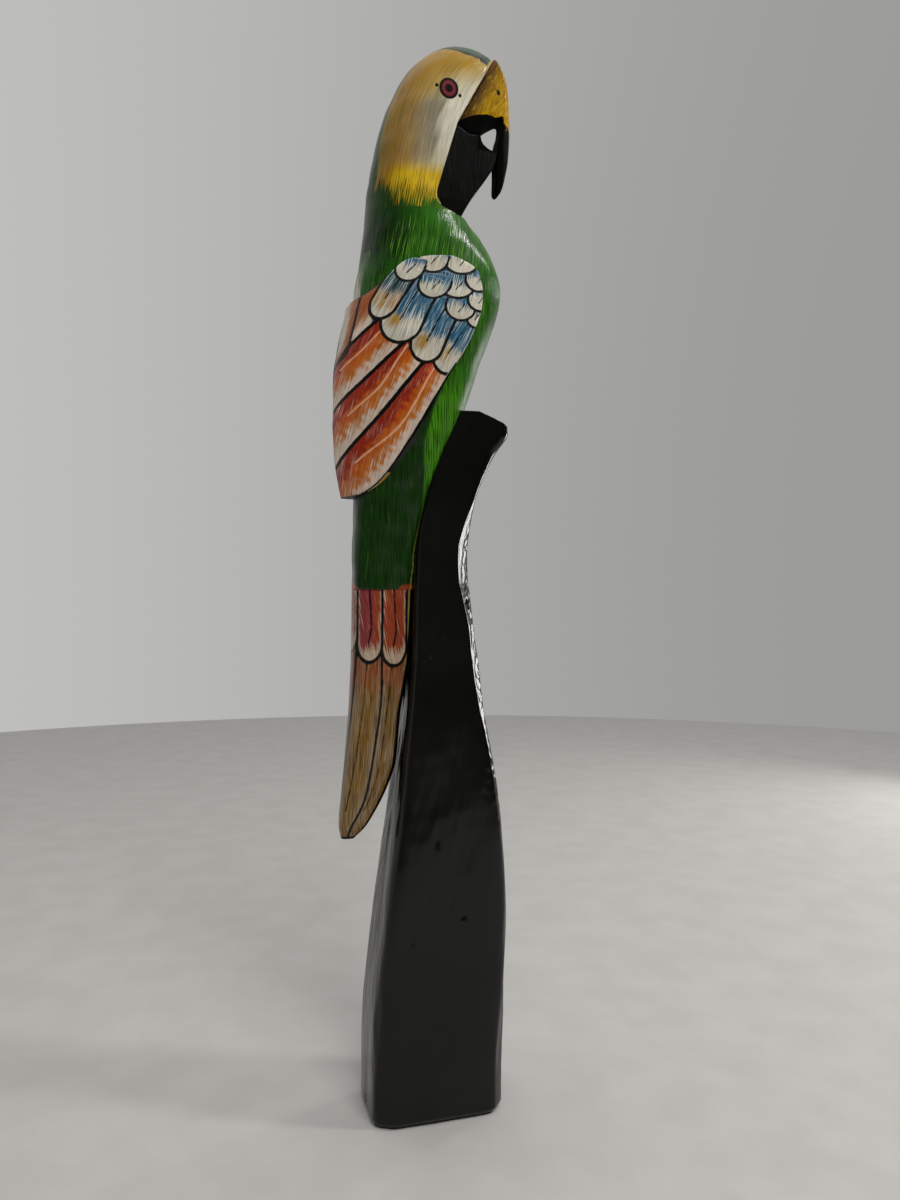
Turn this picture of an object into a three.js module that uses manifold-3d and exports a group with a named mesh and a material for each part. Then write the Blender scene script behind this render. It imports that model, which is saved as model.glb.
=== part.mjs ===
// Carved and painted wooden macaw, clinging to the back of a tall black stump.
// Units are millimetres. The bird faces +X, its left side is +Y and +Z is up.
// The origin is the centre of the stump's flat base.

import * as THREE from 'three';
import { mergeVertices } from 'three/addons/utils/BufferGeometryUtils.js';
import Module from 'manifold-3d';

const wasm = await Module();
wasm.setup();

// ---------------------------------------------------------------- dimensions

const HEIGHT = 500;             // crown of the head above the table
const BASE_LENGTH = 63;         // stump foot along X
const BASE_DEPTH = 42;          // stump foot along Y
const TAIL_JOINT = 242;         // height where the tail block meets the body
const TAIL_TIP = 127;           // lowest point of the tail
const WING_TOP = 395;           // height that the wings' surface is lofted up to
const NAPE_POINT = 375;         // height where the wings meet on the back
const WING_BOTTOM = 282;        // height of the cut wing tips
const WING_INSET = 5;           // depth of a wing's seat below the body's skin
const FACE_TOP = [29, 495];     // face where it leaves the crown: x, z
const FACE_BEND = [8.2, 456.5]; // face where it turns steeper, below the mouth: x, z
const FACE_FOOT = [-1.7, 424];  // face where it meets the throat: x, z
const THROAT = 414.5;           // height of the ledge under the beak
const BEAK_ROOT_HALF = 8.5;     // half thickness of the beak at the face
const BEAK_BEVEL_HALF = 6.5;    // half thickness of the beak where its front is bevelled
const BEAK_TIP_HALF = 2.2;      // half thickness of the beak at its front
const BEAK_FRONT = 38.2;        // foremost point of the beak along X
const GAP = 0.3;                // glue line between neighbouring pieces
const PEG_RADIUS = 3;           // dowels in the thick joints
const PIN_RADIUS = 1.6;         // pins in the wings and the beak

// ---------------------------------------------------------------- stations
// Each row is: height; back, broadest and front x; half width; and squareness of
// the section behind and in front of its broadest place. A squareness of 2 is an
// ellipse, larger values are nearer a rectangle and smaller ones nearer a ridge.

const STUMP_ROWS = [
  [0, -BASE_LENGTH / 2, 0, BASE_LENGTH / 2 - 1, BASE_DEPTH / 2, 4.5, 4.5],
  [45, -30.5, 0.5, 31.5, BASE_DEPTH / 2, 4.2, 4.2],
  [90, -25.5, 4, 33, 21, 3.8, 4],
  [125, -21, 5, 31.5, 19.5, 3.6, 4],
  [165, -16, 5.5, 27, 17, 3.4, 3.8],
  [205, -13, 4.5, 22, 14.5, 3.2, 3.6],
  [240, -12, 3, 18.5, 13, 3.2, 3.4],
  [265, -9.5, 4, 17.5, 12.3, 3.2, 3.2],
  [285, -5.5, 7.5, 20.5, 12.3, 3.2, 3.2],
  [305, 0, 14, 29, 12.6, 3.2, 3.2],
  [319, 4, 20, 35.5, 13, 3.2, 3.2],
  [327, 6, 21, 36, 13, 3.2, 3.2],
];

const BODY_ROWS = [
  [TAIL_JOINT, -35.5, -24, -11, 7.5, 4, 3.6],
  [262, -35.7, -22, -8.5, 9.3, 3.4, 3.2],
  [284, -36, -18, -2.8, 12, 2.8, 2.8],
  [305, -36.5, -15, 5.5, 15, 2.4, 2.5],
  [326, -37.5, -12, 15, 18, 2.2, 2.4],
  [345, -38, -8, 21.5, 20.6, 2.2, 2.4],
  [365, -37, -4, 29, 22.6, 2.2, 2.4],
  [380, -36.6, -2, 33, 23, 2.2, 2.4],
  [392, -34.5, -2, 31.5, 22.4, 2.2, 2.4],
  [405, -32.8, -3, 24.5, 20.6, 2.2, 2.4],
  [416, -31.7, -5, 16, 18.8, 2.2, 2.4],
  [430, -30.2, -4, 17, 17.4, 2.2, 2.6],
  [450, -26.5, 1, 31, 17.2, 2.2, 2.8],
  [468, -20.8, 5, 36, 17, 2.2, 2.8],
  [482, -13.6, 9, 36, 15.4, 2.2, 2.7],
  [492, -4.8, 12, 32, 12, 2.2, 2.5],
  [498, 4.5, 14, 25, 6.6, 2.2, 2.4],
  [HEIGHT, 13, 15.5, 18, 1.4, 2.2, 2.2],
];

const TAIL_ROWS = [
  [TAIL_TIP, -41, -40, -38.5, 2.4, 3, 3],
  [132, -41.5, -37, -32.5, 3.8, 3.4, 3.4],
  [143, -41, -34, -27, 4.9, 4, 4],
  [160, -39.5, -31, -21.5, 5.9, 4, 4],
  [185, -38, -27, -16.5, 6.7, 4, 4],
  [212, -36.5, -25, -12.5, 7.2, 4, 4],
  [TAIL_JOINT, -35.5, -24, -11, 7.5, 4, 3.6],
];

// Outer surface of the folded wings, level with the body at the shoulders and
// standing off it more and more towards the tips, with a ridge down the back.
const WING_ROWS = [
  [WING_BOTTOM - 4, -42, -20, 20, 14.5, 1.6, 2.5],
  [300, -46, -18, 22, 17.8, 1.6, 2.5],
  [325, -46.8, -14, 24, 21.2, 1.7, 2.5],
  [345, -46, -10, 27, 23.3, 1.9, 2.4],
  [365, -42, -6, 30, 24.3, 2.2, 2.4],
  [382, -38, -3, 33, 24.1, 2.2, 2.4],
  [WING_TOP + 4, -34, -2, 31, 22.6, 2.2, 2.4],
];

// Side outline of a wing, as x, z, from the nape round the shoulder to the tip.
const WING_OUTLINE = [
  [-60, NAPE_POINT], [-36, NAPE_POINT + 0.5], [-28, 380], [-22.5, 385.5], [-17.5, 389.5],
  [-12, 391], [-6, 392.3], [0, 393], [5.5, 393], [12.5, 391], [17.5, 387.5], [20, 380],
  [19.5, 371], [17, 363.5], [11, 351.5], [3.5, 340.5], [-4.5, 327], [-13, 312.5],
  [-21.5, 299], [-28.5, 290], [-34, 284.5], [-38, WING_BOTTOM + 0.5], [-60, WING_BOTTOM],
];

// Side outlines of the two halves of the beak, as x, z. They share the mouth, and
// leave an opening between them behind the hook.
const UPPER_BEAK_OUTLINE = [
  FACE_TOP, [30.5, 494.5], [34, 488.5], [36.9, 480], [BEAK_FRONT, 467], [38, 453],
  [36, 441], [34.2, 434.5], [32.4, 432], [30.8, 433.5], [31.3, 441], [31.8, 451.5],
  [33, 458], [33.6, 463], [33, 467], [29, 467], [25.5, 465], [22.3, 461.5],
  [21, 458.8], [17, 458], [13.5, 459.6], [10.6, 461],
];
const LOWER_BEAK_OUTLINE = [
  [10.4, 460.6], [13.5, 459.1], [17, 457.4], [21.4, 457.6], [22.4, 454.5], [24, 452.6],
  [26.8, 451.2], [29, 451.8], [31, 453.2], [31.2, 450.5], [29.8, 443], [26.5, 436.5],
  [19, 426.5], [14, 419], [11, THROAT], [5, THROAT - 0.3], [0.6, 416.5], [-1.6, 421],
  FACE_FOOT, FACE_BEND,
];

// ---------------------------------------------------------------- solids

/** A closed solid from stations, swelled by grow all round its sections. */
function loft(rows, columns, levels, grow = 0, crowd = 1) {
  const heights = rows.map((row) => row[0]);
  const columnCount = rows[0].length - 1;
  const samples = rows.flatMap((row) => row.slice(1));
  const spline = new THREE.CubicInterpolant(heights, samples, columnCount);
  const bottom = heights[0];
  const rise = heights[heights.length - 1] - bottom;
  const geometry = new THREE.CylinderGeometry(1, 1, 1, columns, levels);
  const position = geometry.attributes.position;
  for (let i = 0; i < position.count; i += 1) {
    const level = 1 - (0.5 - position.getY(i)) ** crowd;
    const z = bottom + rise * Math.min(1, Math.max(0, level));
    const [back, broadest, front, half, rear, fore] = spline.evaluate(z);
    const angle = Math.atan2(position.getX(i), position.getZ(i));
    const radius = Math.round(Math.hypot(position.getX(i), position.getZ(i)));
    const ahead = Math.cos(angle) > 0;
    const squareness = ahead ? fore : rear;
    const reach = (ahead ? front - broadest : broadest - back) + grow;
    const along = reach * curved(Math.cos(angle), squareness);
    const across = (half + grow) * curved(Math.sin(angle), squareness);
    position.setXYZ(i, broadest + radius * along, radius * across, z);
  }
  return solid(geometry);
}

/** One coordinate of a superellipse. */
function curved(value, squareness) {
  return Math.sign(value) * Math.abs(value) ** (2 / squareness);
}

/** A prism of a side outline, given as x, z points, between two values of y. */
function prism(points, yFrom, yTo) {
  const shape = new THREE.Shape(points.map(([x, z]) => new THREE.Vector2(x, z)));
  const geometry = new THREE.ExtrudeGeometry(shape, { depth: yTo - yFrom, bevelEnabled: false });
  geometry.rotateX(Math.PI / 2);
  geometry.translate(0, yTo, 0);
  return solid(geometry);
}

/** The outline moved outwards by a distance, for a cut that leaves a gap. */
function outset(points, distance) {
  const area = THREE.ShapeUtils.area(points.map(([x, z]) => new THREE.Vector2(x, z)));
  const side = Math.sign(area) * distance;
  return points.map(([x, z], i) => {
    const [px, pz] = points[(i + points.length - 1) % points.length];
    const [nx, nz] = points[(i + 1) % points.length];
    const length = Math.hypot(nx - px, nz - pz);
    return [x + (side * (nz - pz)) / length, z - (side * (nx - px)) / length];
  });
}

/** A round peg between two points, with both ends and its radius grown. */
function peg([from, to], radius, grow = 0) {
  const start = new THREE.Vector3(...from);
  const end = new THREE.Vector3(...to);
  const direction = end.clone().sub(start).normalize();
  const length = start.distanceTo(end) + 2 * grow;
  const geometry = new THREE.CylinderGeometry(radius + grow, radius + grow, length, 16);
  const turn = new THREE.Quaternion().setFromUnitVectors(new THREE.Vector3(0, 1, 0), direction);
  geometry.applyQuaternion(turn);
  geometry.translate(...start.add(end).multiplyScalar(0.5).toArray());
  return solid(geometry);
}

/** A geometry as a manifold solid. */
function solid(geometry) {
  geometry.deleteAttribute('normal');
  geometry.deleteAttribute('uv');
  const welded = mergeVertices(geometry, 1e-4);
  return new wasm.Manifold(new wasm.Mesh({
    numProp: 3,
    vertProperties: new Float32Array(welded.attributes.position.array),
    triVerts: new Uint32Array(welded.index.array),
  }));
}

/** A manifold solid as a named mesh with its own material. */
function piece(name, manifold, finish) {
  const { vertProperties, triVerts } = manifold.getMesh();
  const geometry = new THREE.BufferGeometry();
  geometry.setAttribute('position', new THREE.BufferAttribute(vertProperties, 3));
  geometry.setIndex(new THREE.BufferAttribute(triVerts, 1));
  geometry.computeVertexNormals();
  const mesh = new THREE.Mesh(geometry, new THREE.MeshStandardMaterial(finish));
  mesh.name = name;
  return mesh;
}

// ---------------------------------------------------------------- pegs
// Each peg is a pair of points on its axis, one inside each of the joined pieces.

const faceRun = FACE_TOP[0] - FACE_BEND[0];
const faceRise = FACE_TOP[1] - FACE_BEND[1];
const faceLength = Math.hypot(faceRun, faceRise);

/** A peg square to the face through a point x, z of it, reaching equally both ways. */
function facePeg([x, z], reach) {
  const dx = (reach * faceRise) / faceLength;
  const dz = (reach * faceRun) / faceLength;
  return [[x - dx, 0, z + dz], [x + dx, 0, z - dz]];
}

const TAIL_DOWEL = [[-25, 0, 224], [-25, 0, 258]];
const PERCH_DOWELS = {
  upper: [[-12, 0, 302], [14, 0, 302]],
  lower: [[-18, 0, 267], [4, 0, 267]],
};
const WING_PINS = {
  upper: { x: -8, z: 374, inner: 11, outer: 21.5 },
  lower: { x: -21, z: 318, inner: 4.5, outer: 15.5 },
};
const UPPER_BEAK_PIN = facePeg([19.3, 477], 8);
const LOWER_BEAK_PIN = facePeg([3.5, 441], 8);

/** A wing pin on one side: side is 1 for the bird's left and -1 for its right. */
function wingPin({ x, z, inner, outer }, side) {
  return [[x, side * inner, z], [x, side * outer, z]];
}

// ---------------------------------------------------------------- cutting solids

const WIDE = 60;

const facePrism = prism([
  [FACE_TOP[0] + faceRun, FACE_TOP[1] + faceRise], FACE_BEND, FACE_FOOT, [-1.8, 421],
  [0.5, 416.5], [5, 414], [11, THROAT], [WIDE, THROAT], [WIDE, HEIGHT + WIDE],
], -WIDE, WIDE);

const wingSeat = loft(insetRows(BODY_ROWS, WING_INSET), 32, 26);
const wingBed = loft(insetRows(BODY_ROWS, WING_INSET + GAP), 32, 26);

/** Stations drawn in by a distance on every side of their sections. */
function insetRows(rows, inset) {
  return rows
    .filter(([z]) => z > TAIL_JOINT && z < 430)
    .map(([z, back, broadest, front, half, ...squareness]) => (
      [z, back + inset, broadest, front - inset, half - inset, ...squareness]
    ));
}

// ---------------------------------------------------------------- wood pieces

function makeBody() {
  const block = loft(BODY_ROWS, 36, 46, 0, 1.35);
  const wingCut = prism(outset(WING_OUTLINE, GAP), -WIDE, WIDE).subtract(wingBed);
  return block
    .subtract(facePrism)
    .subtract(wingCut)
    .subtract(peg(TAIL_DOWEL, PEG_RADIUS, GAP))
    .subtract(peg(PERCH_DOWELS.upper, PEG_RADIUS, GAP))
    .subtract(peg(PERCH_DOWELS.lower, PEG_RADIUS, GAP))
    .subtract(peg(UPPER_BEAK_PIN, PIN_RADIUS, GAP))
    .subtract(peg(LOWER_BEAK_PIN, PIN_RADIUS, GAP))
    .subtract(wingPinHoles(1))
    .subtract(wingPinHoles(-1));
}

function wingPinHoles(side) {
  return peg(wingPin(WING_PINS.upper, side), PIN_RADIUS, GAP)
    .add(peg(wingPin(WING_PINS.lower, side), PIN_RADIUS, GAP));
}

function makeWing(side) {
  const inner = GAP / 2;
  const [yFrom, yTo] = side > 0 ? [inner, WIDE] : [-WIDE, -inner];
  return loft(WING_ROWS, 36, 18)
    .intersect(prism(WING_OUTLINE, yFrom, yTo))
    .subtract(wingSeat)
    .subtract(wingPinHoles(side));
}

function makeTail() {
  const rows = TAIL_ROWS.map((row) => [...row]);
  rows[rows.length - 1][0] = TAIL_JOINT - GAP;
  return loft(rows, 28, 18).subtract(peg(TAIL_DOWEL, PEG_RADIUS, GAP));
}

/** The beak's plan: full thickness at the face, narrowing to a blunt front. */
function beakPlan() {
  const shape = new THREE.Shape();
  shape.moveTo(-WIDE, -BEAK_ROOT_HALF);
  shape.lineTo(0, -BEAK_ROOT_HALF);
  shape.lineTo(BEAK_FRONT - 9, -BEAK_BEVEL_HALF);
  shape.quadraticCurveTo(BEAK_FRONT - 2, -BEAK_BEVEL_HALF, BEAK_FRONT + 1, -BEAK_TIP_HALF);
  shape.lineTo(BEAK_FRONT + 1, BEAK_TIP_HALF);
  shape.quadraticCurveTo(BEAK_FRONT - 2, BEAK_BEVEL_HALF, BEAK_FRONT - 9, BEAK_BEVEL_HALF);
  shape.lineTo(0, BEAK_ROOT_HALF);
  shape.lineTo(-WIDE, BEAK_ROOT_HALF);
  const geometry = new THREE.ExtrudeGeometry(shape, {
    depth: HEIGHT, bevelEnabled: false, curveSegments: 8,
  });
  geometry.translate(0, 0, 50);
  return solid(geometry);
}

function makeBeakHalf(outline, pin) {
  const moved = outline.map(([x, z]) => [x + GAP * 1.2, z + GAP * 0.4]);
  return prism(moved, -WIDE, WIDE)
    .intersect(beakPlan())
    .subtract(peg(pin, PIN_RADIUS, GAP));
}

function makeStump() {
  const top = prism([[-WIDE, -1], [WIDE, -1], [WIDE, 312], [33, 320], [20, 325], [-WIDE, 326]],
    -WIDE, WIDE);
  return loft(STUMP_ROWS, 32, 28)
    .intersect(top)
    .subtract(loft(BODY_ROWS.slice(0, 8), 36, 20, GAP))
    .subtract(loft(TAIL_ROWS, 28, 18, GAP))
    .subtract(peg(PERCH_DOWELS.upper, PEG_RADIUS, GAP))
    .subtract(peg(PERCH_DOWELS.lower, PEG_RADIUS, GAP));
}

// ---------------------------------------------------------------- assembly

const PAINTED_GREEN = { color: 0x2c6a1c, roughness: 0.35, metalness: 0 };
const PAINTED_TAIL = { color: 0x9a7430, roughness: 0.35, metalness: 0 };
const PAINTED_WING = { color: 0xb5651d, roughness: 0.35, metalness: 0 };
const PAINTED_YELLOW = { color: 0xc9a227, roughness: 0.35, metalness: 0 };
const PAINTED_BLACK = { color: 0x101010, roughness: 0.3, metalness: 0 };
const STUMP_BLACK = { color: 0x141414, roughness: 0.3, metalness: 0 };
const BARE_BAMBOO = { color: 0xc8a871, roughness: 0.7, metalness: 0 };

const group = new THREE.Group();

group.add(
  piece('stump', makeStump(), STUMP_BLACK),
  piece('body', makeBody(), PAINTED_GREEN),
  piece('tail', makeTail(), PAINTED_TAIL),
  piece('right_wing', makeWing(-1), PAINTED_WING),
  piece('left_wing', makeWing(1), PAINTED_WING),
  piece('upper_beak', makeBeakHalf(UPPER_BEAK_OUTLINE, UPPER_BEAK_PIN), PAINTED_YELLOW),
  piece('lower_beak', makeBeakHalf(LOWER_BEAK_OUTLINE, LOWER_BEAK_PIN), PAINTED_BLACK),
  piece('tail_dowel', peg(TAIL_DOWEL, PEG_RADIUS), BARE_BAMBOO),
  piece('upper_beak_pin', peg(UPPER_BEAK_PIN, PIN_RADIUS), BARE_BAMBOO),
  piece('lower_beak_pin', peg(LOWER_BEAK_PIN, PIN_RADIUS), BARE_BAMBOO),
);
for (const [level, ends] of Object.entries(PERCH_DOWELS)) {
  group.add(piece(`perch_dowel_${level}`, peg(ends, PEG_RADIUS), BARE_BAMBOO));
}
for (const [level, pin] of Object.entries(WING_PINS)) {
  group.add(
    piece(`right_wing_pin_${level}`, peg(wingPin(pin, -1), PIN_RADIUS), BARE_BAMBOO),
    piece(`left_wing_pin_${level}`, peg(wingPin(pin, 1), PIN_RADIUS), BARE_BAMBOO),
  );
}

export default group;
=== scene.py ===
import bpy
import numpy as np
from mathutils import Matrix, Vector
from mathutils.geometry import delaunay_2d_cdt


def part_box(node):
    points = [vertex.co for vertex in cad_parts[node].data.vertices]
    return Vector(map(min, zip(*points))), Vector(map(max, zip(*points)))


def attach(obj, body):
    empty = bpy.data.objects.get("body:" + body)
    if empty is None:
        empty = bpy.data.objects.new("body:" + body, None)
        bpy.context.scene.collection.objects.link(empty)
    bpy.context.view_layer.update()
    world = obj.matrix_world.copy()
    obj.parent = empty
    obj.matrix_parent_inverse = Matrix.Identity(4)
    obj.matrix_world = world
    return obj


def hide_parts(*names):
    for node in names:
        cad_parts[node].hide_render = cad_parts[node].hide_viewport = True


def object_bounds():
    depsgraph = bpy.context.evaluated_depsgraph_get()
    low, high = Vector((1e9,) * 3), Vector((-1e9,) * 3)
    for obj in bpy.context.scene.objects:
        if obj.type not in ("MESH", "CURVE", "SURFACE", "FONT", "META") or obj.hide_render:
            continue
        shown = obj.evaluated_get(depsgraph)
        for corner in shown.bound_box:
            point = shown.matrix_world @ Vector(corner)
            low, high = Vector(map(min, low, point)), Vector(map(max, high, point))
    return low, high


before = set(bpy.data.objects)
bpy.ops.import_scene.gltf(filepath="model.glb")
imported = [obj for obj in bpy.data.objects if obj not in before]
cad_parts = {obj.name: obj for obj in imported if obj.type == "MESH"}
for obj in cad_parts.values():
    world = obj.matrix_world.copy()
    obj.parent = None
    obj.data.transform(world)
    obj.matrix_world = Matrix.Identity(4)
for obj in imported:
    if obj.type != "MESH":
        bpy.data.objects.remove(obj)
cad_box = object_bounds()

MM = 0.001


def box_mm(node):
    """Lowest and highest corner of a CAD node, in millimetres."""
    low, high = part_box(node)
    return np.array(low) / MM, np.array(high) / MM


# ------------------------------------------------------------------ dimensions

HEIGHT = cad_box[1].z / MM
BODY_LOW, _ = box_mm("body")
TAIL_LOW, TAIL_HIGH = box_mm("tail")
STUMP_LOW, STUMP_HIGH = box_mm("stump")
WING_LOW, _ = box_mm("right_wing")

TAIL_JOINT = BODY_LOW[2]
TAIL_TIP = TAIL_LOW[2]
WING_BOTTOM = WING_LOW[2]
BACK = STUMP_LOW[0]
FOOT_HALF = STUMP_HIGH[1]
WING_SEAT = 5.0            # depth of a wing's seat below the body's skin
GLUE_GAP = 0.3             # glue line between neighbouring pieces
EYE = (4.1, 471.7)         # x and height of the eyes' centres
FAR = 9.0                  # stands for "no line near here"

# Stations, close to the CAD source's: height; back, broadest and front x; half width; and
# squareness of the section behind and in front of its broadest place.

STUMP_ROWS = [
    [0, BACK, 0, -BACK - 1, FOOT_HALF, 7, 7],
    [45, -30.5, 0.5, 31.5, FOOT_HALF, 7, 7],
    [90, -25.5, 4, 33, 21, 7, 7],
    [125, -21, 5, 31.5, 19.5, 6.5, 7],
    [165, -16, 5.5, 27, 17, 6, 7],
    [205, -12, 4.5, 22, 14.5, 5.5, 6.5],
    [240, -10.4, 3, 18.5, 13, 5, 6],
    [265, -9.5, 4, 17.5, 12.3, 4.5, 5],
    [285, -5.5, 7.5, 20.5, 12.3, 4, 4.5],
    [305, 0, 14, 29, 12.8, 4, 4.2],
    [319, 4, 20, 35.5, 13, 4, 4.2],
    [327, 6, 21, 36, 13, 4, 4.2],
]

BODY_ROWS = [
    [TAIL_JOINT, -37.6, -24, -9, 7.5, 4, 3.6],
    [262, -37.4, -22, -7.4, 9.3, 3.4, 3.2],
    [284, -36.8, -18, -2.8, 12, 2.8, 2.8],
    [305, -36.5, -15, 5.5, 15, 2.4, 2.8],
    [326, -37.5, -12, 15, 18, 2.2, 2.7],
    [345, -38, -8, 21.5, 20.6, 2.2, 2.4],
    [365, -37, -4, 29, 22.6, 2.2, 2.4],
    [380, -36.6, -2, 33, 23, 2.2, 2.4],
    [392, -34.5, -2, 31.5, 22.4, 2.2, 2.4],
    [405, -32.8, -3, 24.5, 20.6, 2.2, 2.4],
    [416, -31.7, -5, 16, 18.8, 2.2, 2.4],
    [430, -30.2, -4, 17, 17.4, 2.2, 2.6],
    [450, -26.5, 1, 31, 17.2, 2.2, 2.8],
    [468, -20.8, 5, 36, 17, 2.2, 2.8],
    [482, -13.6, 9, 36, 15.4, 2.2, 2.7],
    [492, -4.8, 12, 32, 12, 2.2, 2.5],
    [498, 4.5, 14, 25, 6.6, 2.2, 2.4],
    [HEIGHT, 13, 15.5, 18, 1.4, 2.2, 2.2],
]

TAIL_ROWS = [
    [TAIL_TIP, -43, -40, -37, 2.4, 3, 3],
    [132, -43.9, -38, -31.8, 3.8, 3.4, 3.4],
    [139, -43.6, -36, -27.3, 4.6, 3.8, 3.8],
    [146, -42.8, -34, -23.5, 5.1, 4, 4],
    [154, -42, -32, -20, 5.6, 4, 4],
    [162, -41.2, -30, -17.6, 6, 4, 4],
    [185, -39.3, -27, -15.4, 6.7, 4, 4],
    [200, -38.5, -26, -12.6, 7, 4, 4],
    [212, -38, -25, -10.7, 7.2, 4, 4],
    [TAIL_JOINT, -37.6, -24, -9, 7.5, 4, 3.6],
]

WING_ROWS = [
    [WING_BOTTOM - 4, -42, -20, 20, 14.5, 1.6, 2.5],
    [300, -46, -18, 22, 17.8, 1.6, 2.5],
    [325, -46.8, -14, 24, 21.2, 1.7, 2.5],
    [345, -46, -10, 27, 23.3, 1.9, 2.4],
    [365, -42, -6, 30, 24.3, 2.2, 2.4],
    [382, -38, -3, 33, 23.8, 2.2, 2.4],
    [399, -34, -2, 31, 22.4, 2.2, 2.4],
]

# Side outline of a wing, as x, z: down from the crown of the shoulder to the tip, and
# up from the nape to the shoulder again.
WING_FRONT_EDGE = [
    (0, 393), (5.5, 393), (12.5, 391), (17.5, 387.5), (20, 380), (19.5, 371), (17, 363.5),
    (11, 351.5), (3.5, 340.5), (-4.5, 327), (-13, 312.5), (-21.5, 299), (-28.5, 290),
    (-34, 285.8), (-38, 284.2), (-48, 283.5),
]
WING_NAPE_EDGE = [
    (-48, 371.5), (-36, 374.5), (-28, 380), (-22.5, 385.5), (-17.5, 389.5), (-12, 391),
    (-6, 392.3), (0, 393),
]

LEDGE = 414.5              # height of the ledge under the beak
CREASE_ROUND = 0.8         # rounding of the edge between face and cheek

# Height and x of the face that the beak is glued to, from the ledge under it upwards.
FACE_LINE = [
    (413.9, 60), (414.5, 8), (416.5, 0.5), (421, -1.8), (424, -1.7), (456.5, 8.2),
    (495, 29), (533.5, 49.8),
]

UPPER_BEAK = [
    (29, 495), (30.8, 494.6), (34.4, 489), (37.2, 480), (38.3, 467), (38, 453), (36, 441),
    (34.2, 434.5), (32.4, 432), (30.8, 433.5), (31.2, 441), (31.4, 451.5), (32.3, 458.2),
    (33.7, 463), (33.9, 468), (30.6, 466.8), (27, 464.4), (24, 461.6), (22.4, 458.9), (17, 458),
    (13.5, 459.6), (10.6, 461),
]
LOWER_BEAK = [
    (10.4, 460.6), (13.5, 459.1), (17, 457.4), (22, 457.6), (23, 455), (24.6, 453.1),
    (28, 451.5), (30.4, 452.6), (30.8, 450), (29, 443.5), (25.4, 437.5), (18, 427),
    (13.4, 419), (11, 414.5), (5, 414.2), (0.6, 416.5), (-1.6, 421), (-1.7, 424), (8.2, 456.5),
]


# ------------------------------------------------------------------ number helpers


def linear(colour):
    """An sRGB colour, 0 to 255, as linear light."""
    c = np.asarray(colour, float) / 255
    return np.where(c < 0.04045, c / 12.92, ((c + 0.055) / 1.055) ** 2.4)


def smooth(low, high, value):
    """0 at low, 1 at high and an S curve between; low may be the larger."""
    t = np.clip((value - low) / (high - low), 0, 1)
    return t * t * (3 - 2 * t)


def look_up(pairs, value):
    """Interpolates in a list of (input, output) pairs."""
    return np.interp(value, *np.transpose(pairs))


def soft_min(a, b, width):
    """The smaller of two, rounded where they are within width of each other."""
    overlap = np.maximum(width - np.abs(a - b), 0) / width
    return np.minimum(a, b) - overlap * overlap * width / 4


def curve(points, steps=6):
    """A smooth line through points, which it passes through in order."""
    p = np.array(points, float)
    p = np.vstack([2 * p[0] - p[1], p, 2 * p[-1] - p[-2]])
    t = np.linspace(0, 1, steps, endpoint=False)[:, None]
    out = []
    for a, b, c, d in zip(p, p[1:], p[2:], p[3:]):
        out.append(0.5 * (2 * b + (c - a) * t + (2 * a - 5 * b + 4 * c - d) * t ** 2
                          + (3 * b - a - 3 * c + d) * t ** 3))
    return np.vstack(out + [p[-2:-1]])


def line_distance(line, u, v):
    """Distance of points u, v from a line of points."""
    best = np.full(np.shape(u), 1e9)
    for (au, av), (bu, bv) in zip(line, line[1:]):
        du, dv = bu - au, bv - av
        t = np.clip(((u - au) * du + (v - av) * dv) / (du * du + dv * dv + 1e-12), 0, 1)
        best = np.minimum(best, (u - au - t * du) ** 2 + (v - av - t * dv) ** 2)
    return np.sqrt(best)


def depth_inside(outline, u, v):
    """Distance inside a closed outline, negative outside it."""
    closed = np.vstack([outline, outline[:1]])
    inside = np.zeros(np.shape(u), bool)
    for (au, av), (bu, bv) in zip(closed, closed[1:]):
        if av != bv:
            crosses = ((av > v) != (bv > v)) & (u < (bu - au) * (v - av) / (bv - av) + au)
            inside ^= crosses
    return np.where(inside, 1, -1) * line_distance(closed, u, v)


def waves(seed, count, shortest, longest):
    """A smooth random function of two lengths, from a few sine waves."""
    rng = np.random.default_rng(seed)
    lengths = np.exp(rng.uniform(np.log(shortest), np.log(longest), count))
    headings = rng.uniform(0, np.pi, count)
    phases = rng.uniform(0, 2 * np.pi, count)

    def value(u, v):
        total = 0
        for length, heading, phase in zip(lengths, headings, phases):
            along = u * np.cos(heading) + v * np.sin(heading)
            total = total + np.sin(2 * np.pi * along / length + phase)
        return total / count ** 0.5

    return value


# ------------------------------------------------------------------ lofts


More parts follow.
